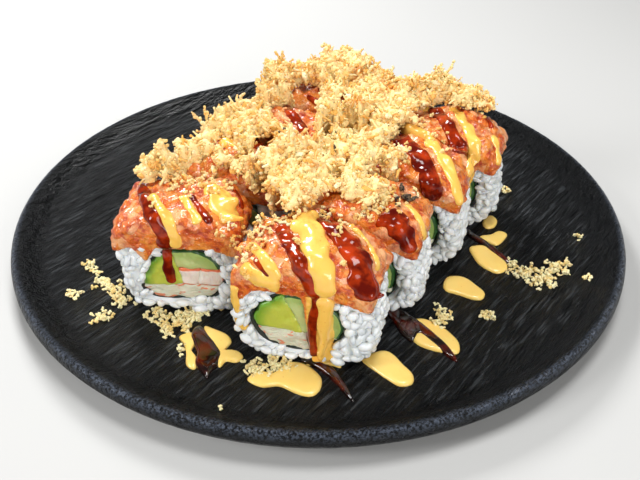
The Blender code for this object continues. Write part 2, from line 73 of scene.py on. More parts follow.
# %% The camera of the photograph
PHOTO_WIDTH, PHOTO_HEIGHT = 640, 480
FOCAL_PIXELS = 700
CAMERA_RISE = radians(37)
CAMERA_DISTANCE = 318 * MM
CAMERA_TARGET = Vector((0.7, -16.5, 0)) * MM
SENSOR_WIDTH = 36
FORWARD = Vector((0, cos(CAMERA_RISE), -sin(CAMERA_RISE)))
RIGHT = Vector((1, 0, 0))
UP = RIGHT.cross(FORWARD)
CAMERA_PLACE = CAMERA_TARGET - FORWARD * CAMERA_DISTANCE


def photo_ray(pixel):
    """Direction from the camera through a point of the photograph."""
    across = (pixel[0] - PHOTO_WIDTH / 2) / FOCAL_PIXELS
    down = (pixel[1] - PHOTO_HEIGHT / 2) / FOCAL_PIXELS
    return (FORWARD + RIGHT * across - UP * down).normalized()


def photo_pixel(point):
    """Where a point of the model lies in the photograph."""
    away = point - CAMERA_PLACE
    scale = FOCAL_PIXELS / away.dot(FORWARD)
    return PHOTO_WIDTH / 2 + scale * away.dot(RIGHT), PHOTO_HEIGHT / 2 - scale * away.dot(UP)


camera = bpy.data.objects.new("camera", bpy.data.cameras.new("camera"))
bpy.context.scene.collection.objects.link(camera)
camera.data.sensor_width = SENSOR_WIDTH
camera.data.lens = SENSOR_WIDTH * FOCAL_PIXELS / PHOTO_WIDTH
camera.data.clip_start = 0.01
camera.location = CAMERA_PLACE
camera.rotation_euler = (pi / 2 - CAMERA_RISE, 0, 0)
bpy.context.scene.camera = camera
bpy.context.scene.view_settings.view_transform = "Standard"
print("camera stands at", [round(v, 3) for v in CAMERA_PLACE])

# %% [markdown]
# Shader nodes are easier to read as sums. `Wire` wraps one socket, and adding or
# multiplying wires adds Math nodes. `Finish` starts a material and adds any other node.
# Its patterns read Object coordinates, so they stay on the piece in every view.


# %% A small language for shaders
class Wire:
    """An output socket that can be added, multiplied, or taken from a number."""

    def __init__(self, finish, socket):
        self.finish = finish
        self.socket = socket

    def maths(self, operation, first, second):
        return self.finish.node("ShaderNodeMath", {"operation": operation}, {0: first, 1: second})

    def __add__(self, other):
        return self.maths("ADD", self, other)

    def __radd__(self, other):
        return self.maths("ADD", other, self)

    def __rsub__(self, other):
        return self.maths("SUBTRACT", other, self)

    def __mul__(self, other):
        return self.maths("MULTIPLY", self, other)

    def __rmul__(self, other):
        return self.maths("MULTIPLY", other, self)


print("operators of a wire:", [name for name in vars(Wire) if name.startswith(("__add", "__r", "__mul"))])


# %% A material under construction
class Finish:
    """Holds a material and its Principled shader, and adds nodes to it."""

    def __init__(self, name):
        self.material = bpy.data.materials.new(name)
        self.material.use_nodes = True
        self.tree = self.material.node_tree
        self.shader = self.tree.nodes["Principled BSDF"]

    def feed(self, socket, value):
        """Give a socket a wire, a colour or a number."""
        if isinstance(value, Wire):
            self.tree.links.new(value.socket, socket)
        elif isinstance(value, tuple) and len(value) == 3 and socket.type == "RGBA":
            socket.default_value = (*value, 1.0)
        else:
            socket.default_value = value

    def node(self, kind, settings=None, sockets=None, output=0):
        """Add a node: its settings come first, then the values or wires of its sockets."""
        made = self.tree.nodes.new(kind)
        for key, value in (settings or {}).items():
            setattr(made, key, value)
        for key, value in (sockets or {}).items():
            self.feed(made.inputs[key], value)
        return Wire(self, made.outputs[output])

    def place(self, stretch=(1, 1, 1), turn=0.0):
        """Object coordinates, turned about Z and stretched."""
        spot = self.node("ShaderNodeTexCoord", output="Object")
        turned = self.node("ShaderNodeMapping", None, {"Vector": spot, "Rotation": (0, 0, turn)})
        return self.node("ShaderNodeMapping", None, {"Vector": turned, "Scale": stretch})

    def speckle(self, size, detail=3.0, stretch=(1, 1, 1), turn=0.0):
        """Soft noise whose blotches have about this size."""
        spot = self.place(stretch, turn)
        sockets = {"Vector": spot, "Scale": 1 / size, "Detail": detail, "Roughness": 0.6}
        return self.node("ShaderNodeTexNoise", None, sockets)

    def cells(self, size, output="Distance", stretch=(1, 1, 1)):
        """Cells of about this size."""
        sockets = {"Vector": self.place(stretch), "Scale": 1 / size}
        return self.node("ShaderNodeTexVoronoi", None, sockets, output)

    def attribute(self, name):
        """A number that the mesh holds for each of its points."""
        return self.node("ShaderNodeAttribute", {"attribute_name": name}, None, "Fac")

    def between(self, value, low, high):
        """0 below low, 1 above high, smooth in between."""
        sockets = {"Value": value, "From Min": low, "From Max": high}
        return self.node("ShaderNodeMapRange", {"interpolation_type": "SMOOTHSTEP"}, sockets)

    def blend(self, share, first, second):
        """Mix two colours; the Mix node's sockets 6 and 7 and its output 2 are for colours."""
        made = self.tree.nodes.new("ShaderNodeMix")
        made.data_type = "RGBA"
        self.feed(made.inputs[0], share)
        self.feed(made.inputs[6], first)
        self.feed(made.inputs[7], second)
        return Wire(self, made.outputs[2])

    def relief(self, height, depth):
        """A bump of this depth in metres."""
        return self.node("ShaderNodeBump", None, {"Height": height, "Distance": depth}, "Normal")

    def done(self, **values):
        """Feed the shader; underscores in the names stand for spaces."""
        for name, value in values.items():
            self.feed(self.shader.inputs[name.replace("_", " ")], value)
        return self.material


print("helpers of a finish:", [name for name in vars(Finish) if not name.startswith("_")])

# %% [markdown]
# Meshes come from three sources: a copy of a solid from the frame, a loft of rings, or a
# union of many lumps. The union is a voxel remesh, which melts overlapping lumps into one
# closed skin, as chopped seafood bound with sauce does.


# %% Objects and meshes
def new_object(name, mesh, look=None):
    """Put a mesh into the scene with one material."""
    item = bpy.data.objects.new(name, mesh)
    bpy.context.scene.collection.objects.link(item)
    mesh.materials.clear()
    if look is not None:
        mesh.materials.append(look)
    return item


def mesh_from(bm, name, smooth=True):
    """Turn a bmesh into a mesh and free it."""
    mesh = bpy.data.meshes.new(name)
    bm.to_mesh(mesh)
    bm.free()
    if smooth:
        mesh.shade_smooth()
    return mesh


MERGE_DISTANCE = 0.005 * MM


def node_copy(name):
    """The solid of a node as a bmesh with its points merged."""
    bm = bmesh.new()
    bm.from_mesh(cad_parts[name].data)
    bmesh.ops.remove_doubles(bm, verts=bm.verts, dist=MERGE_DISTANCE)
    return bm


def settle(item, slot, *nodes):
    """A finished piece rides on the plate's body and stands for its nodes."""
    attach(item, "root")
    if nodes:
        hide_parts(*nodes)


def triangles(item):
    return sum(len(face.vertices) - 2 for face in item.data.polygons)


# %% Melting, roughening and joining
def baked_mesh(item):
    """The mesh that an object's modifiers make, as a plain mesh."""
    bpy.context.view_layer.update()
    return bpy.data.meshes.new_from_object(item.evaluated_get(bpy.context.evaluated_depsgraph_get()))


def remeshed(bm, voxel, smooth_steps):
    """Melt everything in the bmesh into one closed skin."""
    item = new_object("remesh", mesh_from(bm, "remesh"))
    grid = item.modifiers.new("grid", "REMESH")
    grid.mode = "VOXEL"
    grid.voxel_size = voxel
    soften = item.modifiers.new("soften", "SMOOTH")
    soften.factor = 0.5
    soften.iterations = smooth_steps
    mesh = baked_mesh(item)
    old = item.data
    bpy.data.objects.remove(item)
    bpy.data.meshes.remove(old)
    melted = bmesh.new()
    melted.from_mesh(mesh)
    bpy.data.meshes.remove(mesh)
    bmesh.ops.recalc_face_normals(melted, faces=melted.faces)
    return melted


def roughen(bm, size, depth, seed):
    """Push points in and out by noise; another seed reads another place of the noise."""
    bm.normal_update()
    shift = Vector((seed, seed * 1.7, seed * 0.3))
    for vert in bm.verts:
        vert.co += vert.normal * depth * noise.noise(vert.co / size + shift)


def join_lines(bm, first, second):
    """A belt of faces between two closed lines of points."""
    for step in range(len(first)):
        after = (step + 1) % len(first)
        bm.faces.new((first[step], first[after], second[after], second[step]))


print("melting helpers are ready, points merge at mm:", MERGE_DISTANCE / MM)


# %% Lumps
def ball(detail):
    """Points and faces of a small ball, to be stamped many times."""
    bm = bmesh.new()
    bmesh.ops.create_icosphere(bm, subdivisions=detail, radius=1.0)
    points = [vert.co.copy() for vert in bm.verts]
    faces = [[vert.index for vert in face.verts] for face in bm.faces]
    bm.free()
    return points, faces


BALLS = {1: ball(1), 2: ball(2)}


def add_lump(bm, centre, radii, turn, detail=2):
    """Add one ellipsoid to a bmesh."""
    matrix = Matrix.Translation(centre) @ turn.to_matrix().to_4x4() @ Matrix.Diagonal((*radii, 1))
    points, faces = BALLS[detail]
    lump = [bm.verts.new(matrix @ point) for point in points]
    for face in faces:
        bm.faces.new([lump[index] for index in face])
    return lump


def random_turn(draw):
    return Euler((draw.uniform(0, 2 * pi), draw.uniform(0, 2 * pi), draw.uniform(0, 2 * pi)))


print("faces of a lump by detail:", {detail: len(faces) for detail, (_, faces) in BALLS.items()})

# %% [markdown]
# The plate is black with a chiselled face, like split slate: shallow ridges run
# diagonally across it. A polar grid is displaced by noise that is stretched along one
# direction, because ridges this size catch the light and must be real. Finer grit is bump.
# Along the top of the lip a paler line is a painted highlight; paler streaks along the ridges are painted
# sheen, and pale specks are painted glints.

# %% Sizes of the plate
PLATE_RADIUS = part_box("plate")[1][0]
PLATE_FLOOR = 6 * MM
LIP_HEIGHT = 12.5 * MM
LIP_WIDTH = 13 * MM
FOOT_RADIUS = 96 * MM
RIDGE_TURN = radians(50)
RIDGE_DEPTH = 0.5 * MM
PLATE_AROUND = 420
LIP_ROUND = 2.5 * MM
LIP_DROP = 4 * MM
ON_FLOOR = 1.0
GRIT_DEPTH = 0.25 * MM
GRIT_SIZE = 1.8 * MM
# Where the painted highlight line runs along the crest of the lip
CREST_RADIUS = PLATE_RADIUS - 1.6 * MM
CREST_WIDTH = 1.7 * MM
CREST_ABOVE = 10 * MM
LIP_ABOVE = 5 * MM
print("plate radius in mm:", round(PLATE_RADIUS / MM, 1))


# %% Ridges and outline of the plate
def ridge_height(x, y):
    """Chiselled ridges: long across one direction, short across the other."""
    along = x * cos(RIDGE_TURN) + y * sin(RIDGE_TURN)
    across = y * cos(RIDGE_TURN) - x * sin(RIDGE_TURN)
    bend = 6 * MM * noise.noise(Vector((along / (60 * MM), across / (40 * MM), 4)))
    first = noise.noise(Vector((along / (22 * MM), (across + bend) / (2.6 * MM), 0)))
    second = noise.noise(Vector((along / (9 * MM), (across + bend) / (1.3 * MM), 7)))
    return RIDGE_DEPTH * (0.9 * (0.5 - abs(first)) + 0.35 * second)


def plate_profile():
    """Points of the turned outline as radius, height and share of ridges."""
    crest = PLATE_RADIUS - LIP_ROUND
    inner = PLATE_RADIUS - LIP_WIDTH
    points = [(radius * MM, PLATE_FLOOR, ON_FLOOR) for radius in range(1, int(inner / MM))]
    rise_steps, round_steps = 8, 7
    for step in range(rise_steps + 1):
        share = step / rise_steps
        rise = 0.5 - 0.5 * cos(pi * share)
        height = PLATE_FLOOR + (LIP_HEIGHT - PLATE_FLOOR) * rise
        points.append((inner + (crest - inner) * share, height, 0.9))
    for step in range(1, round_steps + 1):
        angle = pi / 2 - pi * 0.5 * step / round_steps
        points.append((crest + LIP_ROUND * cos(angle), LIP_HEIGHT - LIP_DROP * (1 - sin(angle)), 0.4))
    # The underside slopes in to the foot
    points += [(PLATE_RADIUS - 1 * MM, 6.4 * MM, 0.3), (PLATE_RADIUS - 4 * MM, 4 * MM, 0.2)]
    points += [(PLATE_RADIUS - 15 * MM, 2.4 * MM, 0.0), (FOOT_RADIUS + 12 * MM, 1.2 * MM, 0.0)]
    points += [(FOOT_RADIUS, 0.0, 0.0)]
    return points


print("rings of the plate:", len(plate_profile()))


# %% The plate's mesh
def crest_share(x, y, height):
    """1 on the painted highlight line along the top of the lip, 0 away from it."""
    if height <= CREST_ABOVE:
        return 0.0
    return max(0.0, 1 - abs(hypot(x, y) - CREST_RADIUS) / CREST_WIDTH)


def make_plate():
    """Rings of points joined to a closed plate, with marks for the lip and for the painted highlight along
    its crest.
    """
    bm = bmesh.new()
    lip = bm.verts.layers.float.new("lip")
    crest = bm.verts.layers.float.new("crest")
    rings = []
    for radius, height, share in plate_profile():
        ring = []
        for step in range(PLATE_AROUND):
            angle = 2 * pi * step / PLATE_AROUND
            x, y = radius * cos(angle), radius * sin(angle)
            lift = share * ridge_height(x, y)
            if share < ON_FLOOR:
                lift += GRIT_DEPTH * share * noise.noise(Vector((x, y, height)) / GRIT_SIZE)
            vert = bm.verts.new((x, y, height + lift))
            vert[lip] = share < ON_FLOOR and height > LIP_ABOVE
            # The crest mark holds where the painted highlight line lies.
            vert[crest] = crest_share(x, y, height)
            ring.append(vert)
        rings.append(ring)
    for inner, outer in zip(rings, rings[1:]):
        for step in range(PLATE_AROUND):
            after = (step + 1) % PLATE_AROUND
            bm.faces.new((inner[step], outer[step], outer[after], inner[after]))
    top = bm.verts.new((0, 0, PLATE_FLOOR))
    for step in range(PLATE_AROUND):
        bm.faces.new((top, rings[0][step], rings[0][(step + 1) % PLATE_AROUND]))
    bm.faces.new(list(reversed(rings[-1])))
    return mesh_from(bm, "plate_top")


print("steps round the plate:", PLATE_AROUND)


# %% The plate's glaze
SLATE_DARK, SLATE_PALE = (0.001, 0.0012, 0.0014), (0.005, 0.006, 0.007)
# Painted sheen of the paler streaks along the ridges
SLATE_RIDGE_SHEEN = (0.042, 0.046, 0.05)
# Painted glints
SLATE_PAINTED_GLINT = (0.022, 0.027, 0.036)
# Painted highlight along the crest of the lip
CREST_HIGHLIGHT = (0.10, 0.12, 0.16)


def slate_finish():
    """Black glaze: fine streaks along the ridges, with painted sheen in paler streaks, painted glints and a
    painted highlight on the crest.
    """
    skin = Finish("slate_black")
    grit = skin.speckle(0.5 * MM, 4)
    streak = skin.speckle(1.6 * MM, 5, (0.12, 1, 1), -RIDGE_TURN)
    # Pale specks, stronger on the lip: painted glints.
    painted_glint = skin.between(skin.speckle(0.45 * MM, 2), 0.56, 0.72)
    lip = skin.attribute("lip")
    # Paler streaks along the ridges, away from the lip: painted sheen of the ridges.
    ridge_sheen = skin.between(skin.speckle(1.5 * MM, 2, (0.11, 1, 1), -RIDGE_TURN), 0.52, 0.68)
    colour = skin.blend(streak, SLATE_DARK, SLATE_PALE)
    colour = skin.blend(ridge_sheen * (1 - lip), colour, SLATE_RIDGE_SHEEN)
    colour = skin.blend(painted_glint * (0.12 + 0.3 * lip), colour, SLATE_PAINTED_GLINT)
    # A paler speckled line along the crest of the lip: painted highlight.
    edge = skin.attribute("crest") * skin.between(skin.speckle(0.9 * MM, 3), 0.4, 0.6)
    colour = skin.blend(edge, colour, CREST_HIGHLIGHT)
    broad = skin.speckle(3.4 * MM, 3, (0.14, 1, 1), -RIDGE_TURN)
    bump = skin.relief(grit * 0.3 + streak * 1.0 + broad * 2.6, 2.6 * MM)
    skin.done(Specular_IOR_Level=0.22)
    return skin.done(Base_Color=colour, Roughness=0.2 + 0.22 * streak, Normal=bump)


plate = new_object("slate_plate", make_plate(), slate_finish())
settle(plate, "plate", "plate")
print("plate triangles:", triangles(plate))

# %% [markdown]
# Many small things share one Geometry Nodes tree: points are scattered on a surface, each
# gets one of several shapes, a random turn and size, and a random tone that the material
# reads. A Python loop could place them too, but the tree keeps them evenly apart and is
# quick. It ends in Realize Instances and Set Material, and the result is baked to a plain
# mesh.


# %% The scatter's nodes
def scatter_tree():
    """Build the tree once; its named inputs hold the sizes, the seed and the shapes."""
    tree = bpy.data.node_groups.new("scatter", "GeometryNodeTree")
    tree.is_modifier = True
    face = tree.interface
    face.new_socket("Geometry", in_out="OUTPUT", socket_type="NodeSocketGeometry")
    face.new_socket("Geometry", in_out="INPUT", socket_type="NodeSocketGeometry")
    for label, kind in (
        ("Shapes", "Collection"), ("Spacing", "Float"), ("Density", "Float"), ("Seed", "Int"),
        ("Smallest", "Float"), ("Largest", "Float"), ("Tilt", "Float"), ("Look", "Material"),
    ):
        face.new_socket(label, in_out="INPUT", socket_type="NodeSocket" + kind)
    nodes, links = tree.nodes, tree.links
    given = nodes.new("NodeGroupInput").outputs

    def node(kind, settings=None, **sockets):
        """Add a node; i0, i1 and so on name its sockets by number."""
        made = nodes.new(kind)
        for key, value in (settings or {}).items():
            setattr(made, key, value)
        for key, value in sockets.items():
            target = made.inputs[int(key[1:])] if key[1:].isdigit() else made.inputs[key.replace("_", " ")]
            if isinstance(value, bpy.types.NodeSocket):
                links.new(value, target)
            else:
                target.default_value = value
        return made.outputs

    points = node(
        "GeometryNodeDistributePointsOnFaces", {"distribute_method": "POISSON"}, Mesh=given["Geometry"],
        Distance_Min=given["Spacing"], Density_Max=given["Density"], Seed=given["Seed"],
    )
    shapes = node("GeometryNodeCollectionInfo", None, Collection=given["Shapes"])[0]
    shapes.node.inputs["Separate Children"].default_value = True
    shapes.node.inputs["Reset Children"].default_value = True
    low = node("ShaderNodeCombineXYZ", None, X=0.0, Y=0.0, Z=0.0)[0]
    minus = node("ShaderNodeMath", {"operation": "MULTIPLY"}, i0=given["Tilt"], i1=-1.0)[0]
    links.new(minus, low.node.inputs[0])
    links.new(minus, low.node.inputs[1])
    high = node("ShaderNodeCombineXYZ", None, X=given["Tilt"], Y=given["Tilt"], Z=2 * pi)[0]
    turn = node(
        "FunctionNodeRandomValue", {"data_type": "FLOAT_VECTOR"}, i0=low, i1=high, Seed=given["Seed"],
    )[0]
    euler = node("FunctionNodeEulerToRotation", None, i0=turn)[0]
    spin = node(
        "FunctionNodeRotateRotation", {"rotation_space": "LOCAL"}, Rotation=points["Rotation"],
        Rotate_By=euler,
    )[0]
    size = node(
        "FunctionNodeRandomValue", {"data_type": "FLOAT"}, i2=given["Smallest"], i3=given["Largest"],
        Seed=given["Seed"],
    )[1]
    placed = node(
        "GeometryNodeInstanceOnPoints", None, Points=points["Points"], Instance=shapes, Pick_Instance=True,
        Rotation=spin, Scale=size,
    )[0]
    tone = node("FunctionNodeRandomValue", {"data_type": "FLOAT"}, i2=0.0, i3=1.0, Seed=7)[1]
    toned = node(
        "GeometryNodeStoreNamedAttribute", {"data_type": "FLOAT", "domain": "INSTANCE"}, Geometry=placed,
        Name="tone", Value=tone,
    )[0]
    real = node("GeometryNodeRealizeInstances", None, Geometry=toned)[0]
    painted = node("GeometryNodeSetMaterial", None, Geometry=real, Material=given["Look"])[0]
    out = nodes.new("NodeGroupOutput")
    links.new(painted, out.inputs[0])
    return tree


SCATTER = scatter_tree()
print("scatter inputs:", len(SCATTER.interface.items_tree))


# %% Using the scatter
def shape_collection(name, meshes):
    """Shapes for the scatter, kept out of the render."""
    collection = bpy.data.collections.new(name)
    for number, mesh in enumerate(meshes):
        item = bpy.data.objects.new(f"{name}_{number}", mesh)
        collection.objects.link(item)
    return collection


def scatter(name, base, shapes, spacing, seed, small, large, tilt, look):
    """Bake a scatter on a base mesh to a plain mesh object."""
    item = new_object(name, base, look)
    modifier = item.modifiers.new("scatter", "NODES")
    modifier.node_group = SCATTER
    sockets = {s.name: s.identifier for s in SCATTER.interface.items_tree if s.in_out == "INPUT"}
    values = {
        "Shapes": shapes, "Spacing": spacing, "Density": 1.2 / spacing ** 2, "Seed": seed,
        "Smallest": small, "Largest": large, "Tilt": tilt, "Look": look,
    }
    for label, value in values.items():
        modifier[sockets[label]] = value
    mesh = baked_mesh(item)
    item.modifiers.clear()
    item.data = mesh
    return item


print("nodes in the scatter:", len(SCATTER.nodes))

# %% [markdown]
# Every roll stands at its own angle on the plate. From here on a place on a roll is given
# as across, along and up from the centre of its seaweed ring. Real rolls are soft and cut
# by hand. So the ring of the two front pieces, which the photograph shows well, follows an
# uneven line, and on the free sides rice and topping sag outwards a little.

# %% The seaweed ring's line
NORI_WIDTH = 35 * MM
NORI_HEIGHT = 27 * MM
NORI_POWER = 2.5
NORI_THICK = 0.7 * MM
RING_SHAPES = {
    # degrees from the roll's right side, and the share of the even ring's radius
    "a1": [(0, 1.0), (60, 1.0), (90, 0.95), (120, 0.80), (145, 0.72), (170, 0.73), (190, 0.86),
           (205, 0.97), (225, 0.96), (250, 0.87), (270, 0.82), (300, 0.87), (330, 0.95), (360, 1.0)],
    "b1": [(0, 0.86), (45, 0.89), (90, 1.0), (115, 1.0), (145, 0.92), (165, 1.02), (185, 1.10),
           (205, 1.05), (250, 0.96), (270, 0.92), (300, 0.80), (320, 0.72), (345, 0.80), (360, 0.86)],
}


def ring_radius(angle, inset=0.0):
    """The even ring: between an ellipse and a rounded box."""
    across = abs(cos(angle)) / (NORI_WIDTH / 2 - inset)
    up = abs(sin(angle)) / (NORI_HEIGHT / 2 - inset)
    return (across ** NORI_POWER + up ** NORI_POWER) ** (-1 / NORI_POWER)


def ring_share(piece, angle):
    """How far out the uneven ring lies at an angle, as a share of the even one."""
    turned = degrees(angle) % 360
    shape = RING_SHAPES.get(piece, [])
    for (first, low), (last, high) in zip(shape, shape[1:]):
        if first <= turned <= last:
            part = (turned - first) / (last - first)
            return low + (high - low) * part * part * (3 - 2 * part)
    return 1.0


print("even ring in mm:", NORI_WIDTH / MM, "by", NORI_HEIGHT / MM)


# %% Places on a roll
TURNS = {"a1": -5, "a2": -8, "a3": -13, "a4": -17, "b1": -14, "b2": -16, "b3": -18, "b4": -18}


def middle_of(box):
    """Middle of a box that is given by its two corners."""
    low, high = box
    return (Vector(low) + Vector(high)) / 2


ROLL_FRAMES = {}
for piece in PIECES:
    turn = radians(TURNS[piece])
    ROLL_FRAMES[piece] = (middle_of(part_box(f"nori_{piece}")), cos(turn), sin(turn))


def to_roll(piece, point):
    """Across, along and up of a point, from the ring's centre."""
    centre, c, s = ROLL_FRAMES[piece]
    away = point - centre
    return away.x * c + away.y * s, away.y * c - away.x * s, away.z


def from_roll(piece, across, along, up):
    """The point at this place of a roll."""
    centre, c, s = ROLL_FRAMES[piece]
    return centre + Vector((across * c - along * s, across * s + along * c, up))


print("rolls:", {piece: [round(v / MM) for v in ROLL_FRAMES[piece][0]] for piece in PIECES})


# %% Uneven and sagging rolls
# Shares of the ring's radius: all of the change up to the first, none from the second on
UNEVEN_ALL, UNEVEN_NONE = 1.05, 1.25
# How far the left and the right side sag out
SAGS = {"b1": (3.5 * MM, 2.5 * MM), "b2": (0, 3.5 * MM), "b3": (0, 3.5 * MM), "b4": (0, 2.5 * MM)}
SAG_FROM = 12 * MM
SAG_BLEND = 10 * MM
SAG_LEAST = 0.35
SAG_AT_CENTRE = 0.75
SAG_FADE = 30 * MM


def clamp(value, low=0.0, high=1.0):
    return min(high, max(low, value))


def uneven(bm, piece):
    """Draw what lies in or on the even ring to the uneven one, and leave the roll's skin."""
    for vert in bm.verts:
        across, along, up = to_roll(piece, vert.co)
        angle = atan2(up, across)
        out = hypot(across, up) / ring_radius(angle)
        share = clamp((UNEVEN_NONE - out) / (UNEVEN_NONE - UNEVEN_ALL))
        scale = 1 + (ring_share(piece, angle) - 1) * share
        vert.co = from_roll(piece, across * scale, along, up * scale)


def sag(bm, piece):
    """Let the soft roll sag outwards on its free sides, most near the plate."""
    for vert in bm.verts:
        across, along, up = to_roll(piece, vert.co)
        reach = SAGS.get(piece, (0, 0))[across > 0] * (1 if across > 0 else -1)
        side = clamp((abs(across) - SAG_FROM) / SAG_BLEND)
        low = clamp(SAG_AT_CENTRE - up / SAG_FADE, SAG_LEAST)
        vert.co = from_roll(piece, across + reach * side * low, along, up)


print("rolls that sag:", list(SAGS))

# %% [markdown]
# Cooked rice covers each piece outside and shows again at its two cut faces. A grain is a
# plump, slightly bent ellipsoid about 6 mm long. A copy of the solid's own ring is the
# core, and the grains are scattered on its skin and half sunk into it. A bump texture
# would be lighter, but the outline would stay smooth. Only the grains that can be seen are
# made: none in the hole, and none under the topping.


# %% Rice finish
def rice_finish():
    """Moist, slightly translucent rice; each grain has its own tone."""
    skin = Finish("rice_moist")
    tone = skin.attribute("tone")
    cloud = skin.speckle(3 * MM, 3)
    colour = skin.blend(tone * 0.8, (0.95, 0.96, 0.94), (0.76, 0.80, 0.78))
    colour = skin.blend(cloud * 0.35, colour, (0.93, 0.93, 0.88))
    skin.done(Subsurface_Weight=0.5, Subsurface_Scale=0.004, Coat_Weight=0.3, Coat_Roughness=0.12)
    skin.shader.inputs["Subsurface Radius"].default_value = (1.0, 0.8, 0.6)
    return skin.done(Base_Color=colour, Roughness=0.3 + 0.15 * cloud, Normal=skin.relief(cloud, 0.3 * MM))


rice_look = rice_finish()
print("material:", rice_look.name)

# %% A grain of rice
GRAIN_LENGTH = 6.0 * MM
GRAIN_WIDTH = 3.2 * MM
GRAIN_FLATNESS = 0.92
GRAIN_KINDS = 6


def sort_faces(bm):
    """Order the faces by their points: Blender's sphere lists them in another order in each run."""
    bm.verts.index_update()
    in_order = sorted(bm.faces, key=lambda face: sorted(vert.index for vert in face.verts))
    for place, face in enumerate(in_order):
        face.index = place
    bm.faces.sort()


def grain_mesh(draw):
    """One cooked grain, long along X."""
    bm = bmesh.new()
    bmesh.ops.create_uvsphere(bm, u_segments=8, v_segments=7, radius=0.5)
    sort_faces(bm)
    bend = draw.uniform(-0.12, 0.12)
    plump = draw.uniform(0.88, 1.12)
    for vert in bm.verts:
        x, y, z = vert.co.z, vert.co.x, vert.co.y
        taper = 1 - 0.25 * (2 * x) ** 4
        vert.co = (
            x * GRAIN_LENGTH * draw.uniform(0.97, 1.03),
            y * GRAIN_WIDTH * plump * taper,
            z * GRAIN_WIDTH * GRAIN_FLATNESS * plump * taper + bend * GRAIN_LENGTH * (1 - (2 * x) ** 2),
        )
    bmesh.ops.recalc_face_normals(bm, faces=bm.faces)
    return mesh_from(bm, "grain")


draw = random.Random(3)
grains = shape_collection("grain", [grain_mesh(draw) for _ in range(GRAIN_KINDS)])


# %% Where the rice lies
GRAIN_LAP = 0.5 * MM
UNDER_TOPPING = 11.5 * MM
FLAT = 0.75
LEVEL = 0.2
INWARD = 2 * MM


def shrink(bm, depth, hole_centre=None, lap=0.0):
    """Move the skin inward; round a hole's centre the inner wall only closes in by the lap."""
    bm.normal_update()
    moved = []
    for vert in bm.verts:
        step = -vert.normal * depth
        if hole_centre is not None:
            away = Vector((vert.co.x - hole_centre.x, 0, vert.co.z - hole_centre.z))
            if vert.normal.dot(away) < 0:
                step = Vector((0, step.y, 0)) - away.normalized() * lap
        moved.append(vert.co + step)
    for vert, place in zip(bm.verts, moved):
        vert.co = place


def rice_base(pieces, depth):
    """Rice skins of several pieces, without the hole and what the topping hides."""
    joined = bmesh.new()
    for piece in pieces:
        bm = node_copy(f"rice_{piece}")
        centre = middle_of(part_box(f"rice_{piece}"))
        shrink(bm, depth, centre, GRAIN_LAP)
        uneven(bm, piece)
        sag(bm, piece)
        hidden = []
        for face in bm.faces:
            middle = face.calc_center_median()
            inward = face.normal.dot(Vector((middle.x - centre.x, 0, middle.z - centre.z)))
            facing = abs(face.normal.z)
            in_hole = inward < -INWARD and facing > LEVEL
            if facing > FLAT or in_hole or to_roll(piece, middle)[2] > UNDER_TOPPING:
                hidden.append(face)
        bmesh.ops.delete(bm, geom=hidden, context="FACES")
        scrap = bpy.data.meshes.new("scrap")
        bm.to_mesh(scrap)
        bm.free()
        joined.from_mesh(scrap)
        bpy.data.meshes.remove(scrap)
    return mesh_from(joined, "rice_base")


print("no grains above mm:", UNDER_TOPPING / MM)

# %% Rice grains and cores
GRAIN_SPACING = 2.15 * MM
GRAIN_SEED = 11
GRAINS_OUT = 0.5 * MM
CORE_OUT = 0.2 * MM
for row in ("a", "b"):
    pieces = [piece for piece in PIECES if piece[0] == row]
    base = rice_base(pieces, -GRAINS_OUT)
    item = scatter(
        f"rice_grains_{row}", base, grains, GRAIN_SPACING, GRAIN_SEED,
        small=0.75, large=1.1, tilt=0.5, look=rice_look,
    )
    settle(item, "rice", *[f"rice_{piece}" for piece in pieces])
    print(item.name, "triangles:", triangles(item))
for piece in PIECES:
    bm = node_copy(f"rice_{piece}")
    shrink(bm, -CORE_OUT, middle_of(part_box(f"rice_{piece}")))
    uneven(bm, piece)
    sag(bm, piece)
    settle(new_object(f"rice_core_{piece}", mesh_from(bm, "rice_core"), rice_look), "rice", f"rice_{piece}")

# %% [markdown]
# The seaweed ring is a thin sheet that went soft against the rice, so its line wavers.
# A bent plane with a thickness would do for an even ring. A loft of closed rings is used
# instead, because it can follow the uneven line. Six rings make it: three outside from one
# cut face to the other, and three inside on the way back.


# %% Seaweed ring
NORI_AROUND = 64
NORI_HALF = 12.4 * MM
NORI_WAVE = 0.3 * MM
NORI_PUSH = 0.5 * MM


def make_nori(piece):
    """A closed sheet bent to the piece's ring."""
    bm = bmesh.new()
    lines = []
    outside = [(0, -NORI_HALF), (0, 0), (0, NORI_HALF)]
    inside = [(NORI_THICK, NORI_HALF), (NORI_THICK, 0), (NORI_THICK, -NORI_HALF)]
    for inset, along in outside + inside:
        line = []
        for step in range(NORI_AROUND):
            angle = 2 * pi * step / NORI_AROUND
            wave = noise.noise(Vector((cos(angle) * 3, sin(angle) * 3, along * 60 + ord(piece[1]) * 5)))
            radius = ring_radius(angle, inset) + NORI_WAVE * wave
            radius += ring_radius(angle) * (ring_share(piece, angle) - 1)
            push = NORI_PUSH * noise.noise(Vector((angle * 2, along * 100, ord(piece[0]))))
            point = from_roll(piece, radius * cos(angle), along + push, radius * sin(angle))
            line.append(bm.verts.new(point))
        lines.append(line)
    lines.append(lines[0])
    for first, second in zip(lines, lines[1:]):
        join_lines(bm, first, second)
    bmesh.ops.recalc_face_normals(bm, faces=bm.faces)
    return mesh_from(bm, "nori")


def nori_finish():
    """Dark green fibres, neither matt nor glossy."""
    skin = Finish("seaweed_dark")
    fibre = skin.speckle(0.8 * MM, 5)
    colour = skin.blend(fibre, (0.004, 0.007, 0.005), (0.018, 0.03, 0.018))
    return skin.done(Base_Color=colour, Roughness=0.4 + 0.3 * fibre, Normal=skin.relief(fibre, 0.3 * MM))


